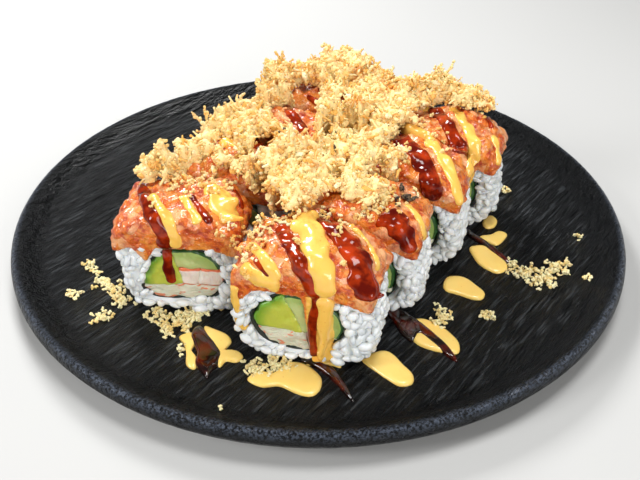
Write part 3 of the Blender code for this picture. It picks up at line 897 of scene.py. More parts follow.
nori_look = nori_finish()
for piece in PIECES:
    settle(new_object(f"seaweed_{piece}", make_nori(piece), nori_look), "nori", f"nori_{piece}")
print("seaweed rings:", len(PIECES))

# %% [markdown]
# The fillings are strips: avocado, cucumber, shredded crab and, in the front left piece,
# two crab sticks. Bevelled boxes would look machined, so each solid is melted into a
# soft-edged strip and roughened, as food that was cut by hand. A point attribute says how
# near a point is to the seaweed, so that the cucumber's peel and the green edge of the
# avocado follow the real outline.


# %% Finishes of the fillings
def avocado_finish():
    """Yellow-green flesh that turns green towards the seaweed."""
    skin = Finish("avocado_flesh")
    rim = skin.attribute("rim")
    cloud = skin.speckle(4 * MM, 4)
    colour = skin.blend(skin.between(rim + cloud * 0.25, 0.75, 1.1), (0.50, 0.54, 0.06), (0.10, 0.31, 0.012))
    colour = skin.blend(skin.between(cloud, 0.35, 0.8) * 0.3, colour, (0.60, 0.60, 0.13))
    skin.done(Subsurface_Weight=0.15, Subsurface_Scale=0.003, Coat_Weight=0.2, Coat_Roughness=0.15)
    return skin.done(Base_Color=colour, Roughness=0.28 + 0.2 * cloud, Normal=skin.relief(cloud, 0.5 * MM))


def cucumber_finish():
    """Pale flesh with seeds, and a thin dark peel along the seaweed."""
    skin = Finish("cucumber_flesh")
    rim = skin.attribute("rim")
    cloud = skin.speckle(2.5 * MM, 4)
    seeds = skin.between(skin.cells(3.2 * MM, stretch=(1, 0.4, 0.6)), 0.3, 0.15)
    colour = skin.blend(skin.between(rim, 0.5, 0.9), (0.50, 0.56, 0.22), (0.34, 0.46, 0.12))
    colour = skin.blend(seeds * 0.25, colour, (0.72, 0.75, 0.42))
    colour = skin.blend(skin.between(rim + cloud * 0.04, 0.915, 0.935), colour, (0.015, 0.075, 0.012))
    skin.done(Subsurface_Weight=0.2, Subsurface_Scale=0.003, Coat_Weight=0.35, Coat_Roughness=0.12)
    return skin.done(Base_Color=colour, Roughness=0.25 + 0.2 * cloud, Normal=skin.relief(cloud, 0.4 * MM))


def crab_finish():
    """Cream-coloured shreds with patches of red."""
    skin = Finish("crab_shreds")
    fibre = skin.speckle(1.4 * MM, 5, (0.5, 1, 2))
    red = skin.between(skin.speckle(3.4 * MM, 2, (0.6, 1, 1.6)), 0.58, 0.64)
    colour = skin.blend(fibre, (0.62, 0.60, 0.42), (0.86, 0.84, 0.68))
    colour = skin.blend(red * 0.85, colour, (0.80, 0.16, 0.04))
    skin.done(Subsurface_Weight=0.2, Subsurface_Scale=0.003, Coat_Weight=0.2, Coat_Roughness=0.2)
    return skin.done(Base_Color=colour, Roughness=0.4 + 0.2 * fibre, Normal=skin.relief(fibre, 1.0 * MM))


def stick_finish():
    """Pink-white fibres with a red skin round the stick."""
    skin = Finish("crab_stick_skin")
    edge = skin.attribute("edge")
    fibre = skin.speckle(1.2 * MM, 4, (1, 1, 0.4))
    colour = skin.blend(fibre, (0.82, 0.66, 0.56), (0.92, 0.84, 0.74))
    colour = skin.blend(skin.between(edge + fibre * 0.15, 0.82, 0.95), colour, (0.78, 0.16, 0.05))
    skin.done(Subsurface_Weight=0.2, Subsurface_Scale=0.003, Coat_Weight=0.2, Coat_Roughness=0.2)
    return skin.done(Base_Color=colour, Roughness=0.4, Normal=skin.relief(fibre, 0.6 * MM))


FILLINGS = {"avocado": avocado_finish(), "cucumber": cucumber_finish(), "crab": crab_finish()}
stick_look = stick_finish()
print("filling materials:", [look.name for look in FILLINGS.values()] + [stick_look.name])


# %% Filling strips
FILLING_VOXEL = 0.7 * MM
FILLING_OUT = 0.5 * MM
FILLING_ROUGH, CRAB_ROUGH = 0.5 * MM, 1.2 * MM
ROUGH_SIZE = 3.5 * MM
STICK_HALF_WIDTH, STICK_HALF_HEIGHT = 5.6 * MM, 3.9 * MM
STICK_SEED = 3


def make_filling(node, piece, seed, rough=FILLING_ROUGH):
    """Soft-edged strip in the place of a filling's solid."""
    bm = remeshed(node_copy(node), FILLING_VOXEL, smooth_steps=2)
    shrink(bm, -FILLING_OUT)
    roughen(bm, ROUGH_SIZE, rough, seed)
    rim = bm.verts.layers.float.new("rim")
    edge = bm.verts.layers.float.new("edge")
    middle_across, _, middle_up = to_roll(piece, middle_of(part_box(node)))
    for vert in bm.verts:
        across, _, up = to_roll(piece, vert.co)
        vert[rim] = hypot(across, up) / ring_radius(atan2(up, across), NORI_THICK)
        aside = abs(across - middle_across) / STICK_HALF_WIDTH
        vert[edge] = max(aside, abs(up - middle_up) / STICK_HALF_HEIGHT)
    uneven(bm, piece)
    return mesh_from(bm, node)


for number, piece in enumerate(PIECES):
    for kind, look in FILLINGS.items():
        node = f"{kind}_{piece}"
        strip = make_filling(node, piece, number, CRAB_ROUGH if kind == "crab" else FILLING_ROUGH)
        settle(new_object(f"{kind}_strip_{piece}", strip, look), kind, node)
for node in ("stick1_a1", "stick2_a1"):
    strip = make_filling(node, "a1", STICK_SEED)
    settle(new_object(f"{node}_strip", strip, stick_look), "crab_stick", node)
print("filling strips:", 3 * len(PIECES) + 2)

# %% [markdown]
# The topping is chopped seafood bound with sauce and torched: glossy orange lumps of
# 3 to 8 mm with pale pink ones between them. Noise alone gives waves and not lumps. So
# lumps are strewn over a copy of the node and melted together, and the node's drape over
# the cut faces stays. Where that drape is a run of sauce, a mark on its points gives it the
# sauce's colour.

# %% Topping finish
CREAM_COLOUR = (0.93, 0.49, 0.075)
GLAZE_COLOUR = (0.25, 0.012, 0.001)
SEAFOOD_RED, SEAFOOD_ORANGE = (0.42, 0.025, 0.002), (0.87, 0.20, 0.012)
SEAFOOD_GOLD, SEAFOOD_PINK, SEAFOOD_FAT = (0.90, 0.33, 0.04), (0.93, 0.50, 0.25), (0.95, 0.80, 0.66)
SEAFOOD_CHAR = (0.05, 0.015, 0.005)


def seafood_finish():
    """Glossy orange and pink lumps with charred specks, and sauce where the points say so."""
    skin = Finish("seafood_torched")
    lump = skin.cells(4.6 * MM, output="Color")
    lump = skin.node("ShaderNodeSeparateColor", None, {"Color": lump})
    cloud = skin.speckle(6 * MM, 3)
    fine = skin.speckle(1.3 * MM, 4)
    patch = skin.speckle(2.6 * MM, 4)
    pale = skin.between(lump * 0.5 + cloud * 0.9, 0.72, 0.98)
    char = skin.between(skin.cells(3.4 * MM), 0.07, 0.045)
    colour = skin.blend(skin.between(patch, 0.3, 0.7), SEAFOOD_RED, SEAFOOD_ORANGE)
    colour = skin.blend(skin.between(cloud, 0.45, 0.62) * 0.7, colour, SEAFOOD_GOLD)
    colour = skin.blend(pale * 0.7, colour, SEAFOOD_PINK)
    colour = skin.blend(skin.between(fine, 0.62, 0.72) * 0.8, colour, SEAFOOD_FAT)
    colour = skin.blend(char * 0.8, colour, SEAFOOD_CHAR)
    cream, glaze = skin.attribute("cream"), skin.attribute("glaze")
    colour = skin.blend(skin.between(cream, 0.3, 0.7), colour, CREAM_COLOUR)
    colour = skin.blend(skin.between(glaze, 0.3, 0.7), colour, GLAZE_COLOUR)
    skin.done(Subsurface_Weight=0.1, Subsurface_Scale=0.003, Coat_Weight=0.7, Coat_Roughness=0.05)
    bump = skin.relief((fine * 0.6 + patch) * (1 - cream), 0.9 * MM)
    return skin.done(Base_Color=colour, Roughness=0.2 + 0.3 * patch, Normal=bump)


seafood_look = seafood_finish()
print("material:", seafood_look.name)

# %% The topping's drape
# Runs of sauce down the cut face: piece, sauce, middle across the roll, width, and top
# over the ring's centre
RUNS = [
    ("b1", "cream", 6.5 * MM, 8 * MM, 15 * MM),
    ("b1", "cream", -24 * MM, 5 * MM, 9 * MM),
    ("b4", "cream", 13 * MM, 5 * MM, 12 * MM),
]
RUN_REACH = 0.75
# Runs are marked where the drape lies in front of this, seen from the ring's centre
RUN_IN_FRONT_OF = -11 * MM
LOOKS_OUT = 0.35
SIDE_FROM = 17 * MM
CUT_FACE_FROM = 11.5 * MM
CORNER_UP = 8.5 * MM
SIDE_UP = 12 * MM


def outer_faces(bm, piece):
    """Faces that look away from the roll."""
    found = []
    for face in bm.faces:
        middle = face.calc_center_median()
        _, along, _ = to_roll(piece, middle)
        away = middle - from_roll(piece, 0, along * 0.6, 0)
        if face.normal.dot(away.normalized()) > LOOKS_OUT:
            found.append(face)
    return found


def round_corners(bm, piece):
    """Draw up the tips that hang over the cut faces, but not the runs of sauce."""
    for vert in bm.verts:
        across, along, up = to_roll(piece, vert.co)
        is_run = any(run[0] == piece and abs(across - run[2]) < run[3] * RUN_REACH for run in RUNS)
        lowest = SIDE_UP if abs(across) > SIDE_FROM else CORNER_UP
        if (abs(along) > CUT_FACE_FROM or lowest == SIDE_UP) and up < lowest and not is_run:
            vert.co = from_roll(piece, across * 0.98, along, lowest + 0.15 * (up - lowest))


def mark_runs(bm, piece):
    """Say on the points which sauce runs there."""
    layers = {sauce: bm.verts.layers.float.new(sauce) for sauce in ("cream", "glaze")}
    for vert in bm.verts:
        across, along, up = to_roll(piece, vert.co)
        for run_piece, sauce, middle, width, top in RUNS:
            if run_piece == piece and along < RUN_IN_FRONT_OF and up < top:
                share = 1 - min(1.0, abs(across - middle) / (width * RUN_REACH)) ** 3
                vert[layers[sauce]] = max(vert[layers[sauce]], share)


print("runs of sauce in the drape:", len(RUNS))

# %% Topping of each piece
LUMP_SMALL, LUMP_LARGE = 1.7 * MM, 3.9 * MM
LUMPS_PER_PIECE = 120
LUMPS_THIN_AT, LUMPS_THIN_OVER = 6 * MM, 9 * MM
TOPPING_VOXEL = 0.62 * MM
TOPPING_ROUGH_SIZE, TOPPING_ROUGH = 1.6 * MM, 0.25 * MM


def lump_size(chance, normal, up):
    """Many small lumps and few large ones, smaller on the sides and towards the edge."""
    size = LUMP_SMALL + (LUMP_LARGE - LUMP_SMALL) * chance ** 1.6
    if normal.z < 0.3:
        size *= 0.6
    return size * clamp((up - LUMPS_THIN_AT) / LUMPS_THIN_OVER, 0.35)


def make_topping(piece, draw):
    """Lumps melted over the node's drape."""
    bm = node_copy(f"topping_{piece}")
    round_corners(bm, piece)
    sag(bm, piece)
    bm.normal_update()
    faces = outer_faces(bm, piece)
    areas = [face.calc_area() for face in faces]
    spots = []
    for face in draw.choices(faces, areas, k=LUMPS_PER_PIECE):
        corners = [vert.co for vert in face.verts]
        shares = [draw.random() + 0.05 for _ in corners]
        spot = sum((c * s for c, s in zip(corners, shares)), Vector()) / sum(shares)
        spots.append((spot, face.normal.copy()))
    for spot, normal in spots:
        size = lump_size(draw.random(), normal, to_roll(piece, spot)[2])
        radii = (size * draw.uniform(1.0, 1.35), size, size * draw.uniform(0.75, 1.0))
        add_lump(bm, spot - normal * size * draw.uniform(0.35, 0.6), radii, random_turn(draw))
    melted = remeshed(bm, TOPPING_VOXEL, smooth_steps=1)
    roughen(melted, TOPPING_ROUGH_SIZE, TOPPING_ROUGH, draw.uniform(0, 50))
    mark_runs(melted, piece)
    return mesh_from(melted, "topping")


draw = random.Random(21)
toppings = []
for piece in PIECES:
    item = new_object(f"seafood_{piece}", make_topping(piece, draw), seafood_look)
    settle(item, "topping", f"topping_{piece}")
    toppings.append(item)
print("topping triangles:", sum(triangles(item) for item in toppings))

# %% [markdown]
# Two sauces cross the food: a yellow-orange creamy one and a dark sweet glaze. Each
# stripe is drawn on the photograph as a short list of points. Rays from the camera find
# the food under them, and a low dome is laid along the path, lifted over each lump. Sauce
# could be painted in the topping's material, but it would have no edge to catch the light.

# %% The stripes as the photograph shows them
STRIPES = {
    # name: sauce, width at the start and end in mm, points of the photograph
    "cream_b1_main": ("cream", 10.5, 7.5, [
        (300, 214), (306, 223), (312, 235), (316, 252), (321, 267), (324, 283), (325, 298),
    ]),
    "cream_b1_run": ("cream", 5.5, 6.0, [
        (325, 296), (325, 312), (325, 328), (326, 344), (328, 356), (331, 364),
    ]),
    "cream_b1_left": ("cream", 6.0, 7.0, [
        (243, 264), (250, 273), (259, 279), (270, 283), (281, 286),
    ]),
    "cream_b1_back": ("cream", 3.6, 4.6, [
        (249, 242), (260, 254), (270, 267), (280, 281),
    ]),
    "cream_b1_edge": ("cream", 3.4, 4.4, [
        (233, 284), (234, 295), (237, 307), (241, 319), (246, 331),
    ]),
    "cream_b1_right": ("cream", 2.2, 3.0, [
        (345, 224), (357, 231), (368, 243), (375, 257), (379, 272),
    ]),
    "glaze_b1_one": ("glaze", 7.0, 5.0, [
        (279, 226), (285, 235), (292, 248), (298, 262), (304, 275), (311, 288), (315, 299),
    ]),
    "glaze_b1_run": ("glaze", 3.0, 4.6, [
        (316, 294), (315, 308), (313, 325), (311, 343), (312, 357),
    ]),
    "glaze_b1_two": ("glaze", 7.0, 11.0, [
        (318, 213), (327, 223), (339, 236), (350, 248), (358, 260), (364, 275), (369, 289),
        (371, 302),
    ]),
    "glaze_b1_small": ("glaze", 2.2, 3.2, [
        (254, 257), (261, 267), (270, 277), (277, 285),
    ]),
    "glaze_a1_one": ("glaze", 4.4, 6.6, [
        (140, 179), (143, 190), (146, 202), (152, 214), (160, 228), (165, 241), (167, 250),
    ]),
    "glaze_a1_run": ("glaze", 3.6, 4.6, [
        (167, 248), (167, 260), (169, 271), (173, 284),
    ]),
    "cream_a1_one": ("cream", 4.0, 5.6, [
        (150, 193), (156, 203), (164, 213), (170, 226), (174, 238), (173, 248),
    ]),
    "cream_a1_wide": ("cream", 8.0, 10.0, [
        (209, 186), (217, 194), (224, 204), (229, 215), (232, 223),
    ]),
    "cream_a1_thin": ("cream", 3.0, 3.6, [
        (182, 195), (188, 204), (194, 214), (199, 225),
    ]),
    "glaze_a1_thin": ("glaze", 2.6, 3.6, [
        (190, 194), (197, 204), (205, 214), (212, 224),
    ]),
    "glaze_a1_right": ("glaze", 2.4, 3.2, [
        (233, 189), (239, 198), (243, 210),
    ]),
    "glaze_b2": ("glaze", 11.0, 6.0, [
        (385, 212), (393, 221), (401, 231), (407, 242), (410, 254),
    ]),
    "cream_b2": ("cream", 2.8, 3.4, [
        (405, 204), (415, 213), (422, 226), (425, 240),
    ]),
    "glaze_b3": ("glaze", 8.0, 8.0, [
        (390, 131), (401, 141), (413, 152), (424, 165), (431, 181), (434, 203),
    ]),
    "cream_b3": ("cream", 7.0, 5.0, [
        (402, 126), (413, 131), (427, 141), (440, 154), (450, 171), (457, 190), (461, 207),
    ]),
    "glaze_b4_top": ("glaze", 3.4, 4.0, [
        (408, 89), (416, 96), (424, 104),
    ]),
    "cream_b4_top": ("cream", 5.0, 5.5, [
        (404, 102), (416, 105), (430, 111),
    ]),
    "glaze_b4": ("glaze", 5.4, 6.8, [
        (430, 108), (440, 117), (449, 128), (456, 142), (460, 155),
    ]),
    "cream_b4": ("cream", 5.4, 5.4, [
        (449, 106), (460, 117), (469, 131), (474, 145), (473, 160), (470, 176), (470, 190),
    ]),
    "cream_b4_side": ("cream", 3.0, 4.0, [
        (493, 134), (497, 149), (499, 162), (498, 176), (497, 186),
    ]),
    "glaze_b4_side": ("glaze", 2.0, 2.6, [
        (477, 104), (486, 116), (493, 130),
    ]),
    "glaze_a4_one": ("glaze", 3.6, 4.2, [
        (306, 95), (319, 103), (330, 113), (339, 124), (343, 133),
    ]),
    "glaze_a4_two": ("glaze", 4.4, 5.4, [
        (280, 99), (290, 112), (299, 123), (306, 133),
    ]),
    "glaze_a2": ("glaze", 4.0, 4.8, [
        (240, 130), (251, 140), (262, 150),
    ]),
    "cream_a2": ("cream", 6.0, 6.6, [
        (221, 139), (236, 146), (251, 153),
    ]),
}


print("stripes:", len(STRIPES))


# %% Finishes of the sauces
PUDDLE_PALE, PUDDLE_PALEST = (0.95, 0.60, 0.13), (0.97, 0.70, 0.21)


def cream_finish():
    """Smooth, glossy and yellow-orange, with a few specks of spice."""
    skin = Finish("cream_sauce")
    cloud = skin.speckle(5 * MM, 3)
    spice = skin.between(skin.cells(2.6 * MM), 0.13, 0.08)
    colour = skin.blend(cloud, CREAM_COLOUR, PUDDLE_PALE)
    colour = skin.blend(spice * 0.5, colour, (0.65, 0.20, 0.02))
    skin.done(Subsurface_Weight=0.1, Subsurface_Scale=0.003, Coat_Weight=0.5, Coat_Roughness=0.06)
    return skin.done(Base_Color=colour, Roughness=0.2 + 0.1 * cloud)


def cream_pool_finish():
    """The same sauce, paler where it has spread on the plate."""
    skin = Finish("cream_puddle")
    cloud = skin.speckle(7 * MM, 3)
    spice = skin.between(skin.cells(3 * MM), 0.1, 0.06)
    colour = skin.blend(cloud, PUDDLE_PALE, PUDDLE_PALEST)
    colour = skin.blend(spice * 0.4, colour, (0.70, 0.28, 0.03))
    skin.done(Subsurface_Weight=0.1, Subsurface_Scale=0.003, Coat_Weight=0.4, Coat_Roughness=0.08)
    return skin.done(Base_Color=colour, Roughness=0.25 + 0.1 * cloud)


def glaze_pool_finish():
    """Glaze on the black plate looks nearly black."""
    skin = Finish("glaze_puddle")
    cloud = skin.speckle(9 * MM, 3)
    colour = skin.blend(skin.between(cloud, 0.45, 0.65), (0.006, 0.001, 0.0005), (0.09, 0.006, 0.001))
    skin.done(Coat_Weight=0.8, Coat_Roughness=0.02)
    return skin.done(Base_Color=colour, Roughness=0.08 + 0.05 * cloud)


def glaze_finish():
    """Glaze in a thick stripe: deep red-brown with a wet shine."""
    skin = Finish("dark_glaze")
    cloud = skin.speckle(6 * MM, 3)
    colour = skin.blend(skin.between(cloud, 0.35, 0.7), (0.10, 0.004, 0.001), (0.42, 0.034, 0.003))
    skin.done(Coat_Weight=0.25, Coat_Roughness=0.02, Specular_IOR_Level=0.2)
    return skin.done(Base_Color=colour, Roughness=0.08 + 0.1 * cloud)


sauce_looks = {"cream": cream_finish(), "glaze": glaze_finish()}
puddle_looks = {"cream": cream_pool_finish(), "glaze": glaze_pool_finish()}
print("sauce materials:", [look.name for look in [*sauce_looks.values(), *puddle_looks.values()]])

# %% A drawn line brought down to the food
PATH_STEPS = 6
LONGEST_JUMP = 14 * MM


def surface_tree(items):
    """One search tree over several finished pieces."""
    verts, faces = [], []
    for item in items:
        start = len(verts)
        verts += [vert.co.copy() for vert in item.data.vertices]
        faces += [[start + index for index in face.vertices] for face in item.data.polygons]
    return BVHTree.FromPolygons(verts, faces)


def curve_point(p0, p1, p2, p3, t):
    """A point between p1 and p2 on a Catmull-Rom curve through all four."""
    return 0.5 * (2 * p1 + (p2 - p0) * t + (2 * p0 - 5 * p1 + 4 * p2 - p3) * t * t
                  + (3 * p1 - p0 - 3 * p2 + p3) * t ** 3)


def smooth_path(points, steps):
    """Smooth curve through points of the photograph."""
    points = [Vector(point) for point in points]
    ends = [points[0] * 2 - points[1], *points, points[-1] * 2 - points[-2]]
    made = []
    for index in range(len(points) - 1):
        made += [curve_point(*ends[index:index + 4], step / steps) for step in range(steps)]
    return made + [points[-1]]


def averaged(values, times):
    """Values of a line, each averaged with its neighbours."""
    for _ in range(times):
        values = [
            (values[max(0, i - 1)] + values[i] * 2 + values[min(len(values) - 1, i + 1)]) / 4
            for i in range(len(values))
        ]
    return values


def landed_path(points, tree):
    """Places and normals on the food under a line drawn on the photograph."""
    hits, normals = [], []
    for pixel in smooth_path(points, PATH_STEPS):
        spot, normal, _, _ = tree.ray_cast(CAMERA_PLACE, photo_ray(pixel))
        if spot is not None and (not hits or (spot - hits[-1]).length < LONGEST_JUMP):
            hits.append(spot)
            normals.append(normal)
    normals = [normal.normalized() for normal in averaged(normals, 4)]
    return averaged(hits, 2), normals


food_under = ("rice_core", "avocado", "cucumber", "crab", "seaweed", "stick")
food_tree = surface_tree(toppings + [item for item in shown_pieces() if item.name.startswith(food_under)])
print("points of the first stripe on the food:", len(landed_path(STRIPES["cream_b1_main"][3], food_tree)[0]))


# %% A stripe of sauce
SAUCE_THICK = 0.19
SIDE_STEPS = 5
FEWEST_HITS = 4
TIP_FROM, TIP_LENGTH = 0.78, 0.22
SWELL = 0.45
LOOK_ABOVE, LOOK_DOWN = 4 * MM, 8 * MM
SAUCE_SINK = 0.5 * MM
SAUCE_COVER = 0.15 * MM
LUMP_COVER = 0.35 * MM


def stripe_rows(hits, normals, width_first, width_last, tree, seed):
    """For each hit its normal, and across it places, lifts to the food and heights of the dome."""
    rows = []
    total = len(hits) - 1
    for index, (spot, normal) in enumerate(zip(hits, normals)):
        ahead = hits[min(index + 1, total)] - hits[max(index - 1, 0)]
        side = ahead.cross(normal).normalized()
        share = index / total
        tip = sqrt(max(0.02, 1 - max(0.0, abs(2 * share - 1) - TIP_FROM) ** 2 / TIP_LENGTH ** 2))
        width = (width_first + (width_last - width_first) * share) * MM
        swells = [1 + SWELL * noise.noise(Vector((index * 0.22, seed * 3.1, edge))) for edge in (0, 9)]
        line = []
        for step in range(-SIDE_STEPS, SIDE_STEPS + 1):
            across = step / SIDE_STEPS
            half = width / 2 * swells[step > 0] * tip
            base = spot + side * half * across
            near, _, _, _ = tree.ray_cast(base + normal * LOOK_ABOVE, -normal, LOOK_DOWN)
            lift = (near - base).dot(normal) if near else -SAUCE_SINK
            line.append((base, lift, SAUCE_THICK * width * tip * sqrt(max(0.0, 1 - across ** 2))))
        rows.append((normal, line))
    return rows


def add_stripe(bm, points, width_first, width_last, tree, seed):
    """A low dome along a path, lifted over the surface's lumps."""
    hits, normals = landed_path(points, tree)
    if len(hits) < FEWEST_HITS:
        return
    rows = stripe_rows(hits, normals, width_first, width_last, tree, seed)
    total = len(rows) - 1
    lines = []
    for index, (normal, line) in enumerate(rows):
        before, after = rows[max(0, index - 1)][1], rows[min(total, index + 1)][1]
        tops, lows = [], []
        for step, (base, lift, dome) in enumerate(line):
            beside = line[max(0, step - 1)][1] + line[min(len(line) - 1, step + 1)][1]
            even = (before[step][1] + after[step][1] + beside + lift) / 5
            height = max(lift - LUMP_COVER, even) + SAUCE_COVER
            tops.append(base + normal * (height + dome))
            lows.append(base + normal * (min(lift, even) - SAUCE_SINK))
        ring = tops + list(reversed(lows))
        lines.append([bm.verts.new(point) for point in ring])
    for first, second in zip(lines, lines[1:]):
        join_lines(bm, first, second)
    bm.faces.new(lines[0])
    bm.faces.new(list(reversed(lines[-1])))


print("a stripe is this share of its width thick:", SAUCE_THICK)

# %% Stripes of both sauces
STRIPE_VOXEL = 0.4 * MM
stripes = []
for sauce, look in sauce_looks.items():
    joined = bmesh.new()
    for number, (kind, width_first, width_last, points) in enumerate(STRIPES.values()):
        if kind == sauce:
            add_stripe(joined, points, width_first, width_last, food_tree, number)
    bmesh.ops.recalc_face_normals(joined, faces=joined.faces)
    melted = remeshed(joined, STRIPE_VOXEL, smooth_steps=6)
    item = new_object(f"{sauce}_stripes", mesh_from(melted, sauce), look)
    settle(item, "sauce")
    stripes.append(item)
    print(item.name, "triangles:", triangles(item))

# %% [markdown]
# Sauce has also run onto the plate and lies there in low rounded puddles. Each outline
# is a few points of the photograph, brought down to the plate and smoothed. Shrinking
# copies of the outline make a dome. They may cross in a bay of it, and the voxel remesh
# melts them into one clean skin.

# %% The puddles as the photograph shows them
PUDDLES = {
    # name: sauce, the nodes it stands for, points of the photograph
    "cream_front_left": ("cream", ["pool_front_left"], [
        (247, 380), (259, 372), (272, 374), (291, 363), (309, 367), (321, 378), (321, 389),
        (313, 397), (300, 396), (280, 387), (261, 388),
    ]),
    "cream_front_right": ("cream", ["pool_front_right"], [
        (361, 359), (379, 352), (391, 354), (403, 365), (413, 376), (412, 385), (400, 387),
        (385, 379), (370, 368),
    ]),
    "cream_right_oval": ("cream", ["pool_right_oval"], [
        (443, 286), (447, 278), (457, 277), (467, 280), (477, 287), (485, 294), (482, 300),
        (472, 300), (457, 295), (446, 292),
    ]),
    "cream_right_far": ("cream", ["pool_right_far"], [
        (469, 249), (478, 246), (487, 248), (497, 254), (506, 263), (507, 270), (499, 274),
        (488, 271), (477, 263),
    ]),
    "cream_right_tail": ("cream", [], [
        (479, 238), (490, 236), (499, 232), (507, 235), (504, 241), (497, 246), (490, 244),
    ]),
    "cream_right_drop": ("cream", [], [
        (482, 224), (486, 218), (492, 217), (497, 222), (494, 228), (486, 229),
    ]),
    "cream_right_near": ("cream", ["pool_right_near"], [
        (404, 324), (414, 320), (426, 320), (438, 326), (449, 333), (459, 344), (458, 354),
        (443, 353), (428, 350), (415, 344), (409, 334),
    ]),
    "cream_left_one": ("cream", ["pool_left"], [
        (179, 338), (186, 334), (194, 334), (195, 344), (192, 352), (197, 360), (195, 370),
        (187, 366), (186, 355), (184, 345),
    ]),
    "cream_left_two": ("cream", [], [
        (204, 327), (215, 330), (227, 335), (232, 342), (228, 348), (224, 352), (238, 353),
        (243, 358), (236, 363), (226, 362), (219, 368), (214, 354), (207, 342),
    ]),
    "cream_front": ("cream", ["pool_front"], [
        (304, 364), (314, 358), (326, 354), (336, 358), (341, 368), (331, 366), (318, 367),
    ]),
    "glaze_left": ("glaze", [], [
        (195, 328), (202, 327), (209, 336), (217, 346), (222, 356), (219, 366), (212, 372),
        (207, 380), (200, 372), (195, 365), (197, 355), (193, 345), (191, 336),
    ]),
    "glaze_front": ("glaze", [], [
        (302, 356), (311, 351), (319, 357), (322, 365), (333, 370), (344, 383), (354, 402),
        (347, 398), (336, 385), (324, 374), (312, 367), (301, 363),
    ]),
    "glaze_right_near": ("glaze", [], [
        (386, 311), (399, 310), (412, 318), (426, 328), (440, 340), (452, 352), (458, 363),
        (447, 357), (433, 345), (418, 335), (412, 343), (402, 336), (394, 324),
    ]),
    "glaze_right_far": ("glaze", [], [
        (465, 229), (474, 236), (487, 244), (500, 254), (511, 265), (505, 264), (492, 254),
        (479, 244), (468, 237),
    ]),
}


print("puddles:", len(PUDDLES))


# %% Puddles on the plate
OUTLINE_STEPS = 5
PUDDLE_HEIGHTS = {"cream": 1.3 * MM, "glaze": 1.75 * MM}
PUDDLE_LIFT = 0.1 * MM
# Rings from the edge inwards: share of the outline, share of the height
PUDDLE_LEVELS = ((1.0, -0.4), (1.0, 0.25), (0.96, 0.6), (0.86, 0.88), (0.65, 0.98), (0.3, 1.0))
PUDDLE_VOXEL = 0.4 * MM
PUDDLE_ROUGH_SIZE, PUDDLE_ROUGH = 6 * MM, 0.25 * MM


def on_plate(pixel):
    """Where the ray through a point of the photograph meets the plate's floor."""
    ray = photo_ray(pixel)
    return CAMERA_PLACE + ray * ((PLATE_FLOOR - CAMERA_PLACE.z) / ray.z)


def add_puddle(bm, outline, height):
    """A low dome over a closed outline."""
    corners = [Vector(point) for point in outline]
    count = len(corners)
    line = []
    for index in range(count):
        around = [corners[(index + shift) % count] for shift in (-1, 0, 1, 2)]
        line += [on_plate(curve_point(*around, step / OUTLINE_STEPS)) for step in range(OUTLINE_STEPS)]
    centre = sum(line, Vector()) / len(line)
    base = PLATE_FLOOR + PUDDLE_LIFT
    rings = []
    for spread, rise in PUDDLE_LEVELS:
        ring = []
        for spot in line:
            inward = (centre - spot) * (1 - spread)
            ring.append(bm.verts.new((spot.x + inward.x, spot.y + inward.y, base + rise * height)))
        rings.append(ring)
    for first, second in zip(rings, rings[1:]):
        join_lines(bm, first, second)
    bm.faces.new(list(reversed(rings[0])))
    bm.faces.new(rings[-1])


for number, (name, (sauce, nodes, outline)) in enumerate(PUDDLES.items()):
    bm = bmesh.new()
    add_puddle(bm, outline, PUDDLE_HEIGHTS[sauce])
    bmesh.ops.recalc_face_normals(bm, faces=bm.faces)
    melted = remeshed(bm, PUDDLE_VOXEL, smooth_steps=3)
    roughen(melted, PUDDLE_ROUGH_SIZE, PUDDLE_ROUGH, number)
    item = new_object(f"{name}_puddle", mesh_from(melted, name), puddle_looks[sauce])
    settle(item, "sauce", *nodes)
print("triangles of the last puddle:", triangles(item))

# %% [markdown]
# Fried batter flakes are clusters of tiny beads, curls and shards. A heap made of flakes
# all through would be heavy, and only its skin can be seen. So its core is a copy of the
# node, melted with lumps and roughened, and the beads, curls and shards are scattered over
# that. Where the photograph shows bare topping between the flakes, the core is sunk into
# the toppings.

# %% Finishes of the batter
BATTER_PALE, BATTER_GOLDEN = (0.94, 0.73, 0.34), (0.85, 0.47, 0.10)
FALLEN_PALE, FALLEN_GOLDEN = (0.95, 0.84, 0.48), (0.88, 0.64, 0.24)
# The first colour is painted shade between the heap's clumps and flakes.
BATTER_PAINTED_SHADE, BATTER_TIP, BATTER_CHAR = (0.62, 0.22, 0.02), (0.96, 0.84, 0.50), (0.03, 0.02, 0.01)
CHARRED_DARK, CHARRED_BROWN = (0.02, 0.013, 0.01), (0.16, 0.10, 0.05)


def batter_finish(name, deep, pale=BATTER_PALE, golden=BATTER_GOLDEN):
    """Dry crisp batter; each flake has its own tone, and `deep` is the share of darker brown patches,
    painted shade between the clumps.
    """
    skin = Finish(name)
    tone = skin.attribute("tone")
    cloud = skin.speckle(7 * MM, 3)
    fine = skin.speckle(0.9 * MM, 4)
    char = skin.between(skin.cells(2.8 * MM), 0.11, 0.07)
    colour = skin.blend(skin.between(tone + cloud, 0.7, 1.35), pale, golden)
    # Darker brown patches at the scale of the clumps: painted shade.
    colour = skin.blend(skin.between(cloud, 0.5, 0.7) * deep, colour, BATTER_PAINTED_SHADE)
    colour = skin.blend(skin.between(tone, 0.8, 0.95), colour, BATTER_TIP)
    colour = skin.blend(char * 0.9, colour, BATTER_CHAR)
    skin.done(Subsurface_Weight=0.1, Subsurface_Scale=0.002)
    return skin.done(Base_Color=colour, Roughness=0.5 + 0.2 * fine, Normal=skin.relief(fine, 0.4 * MM))


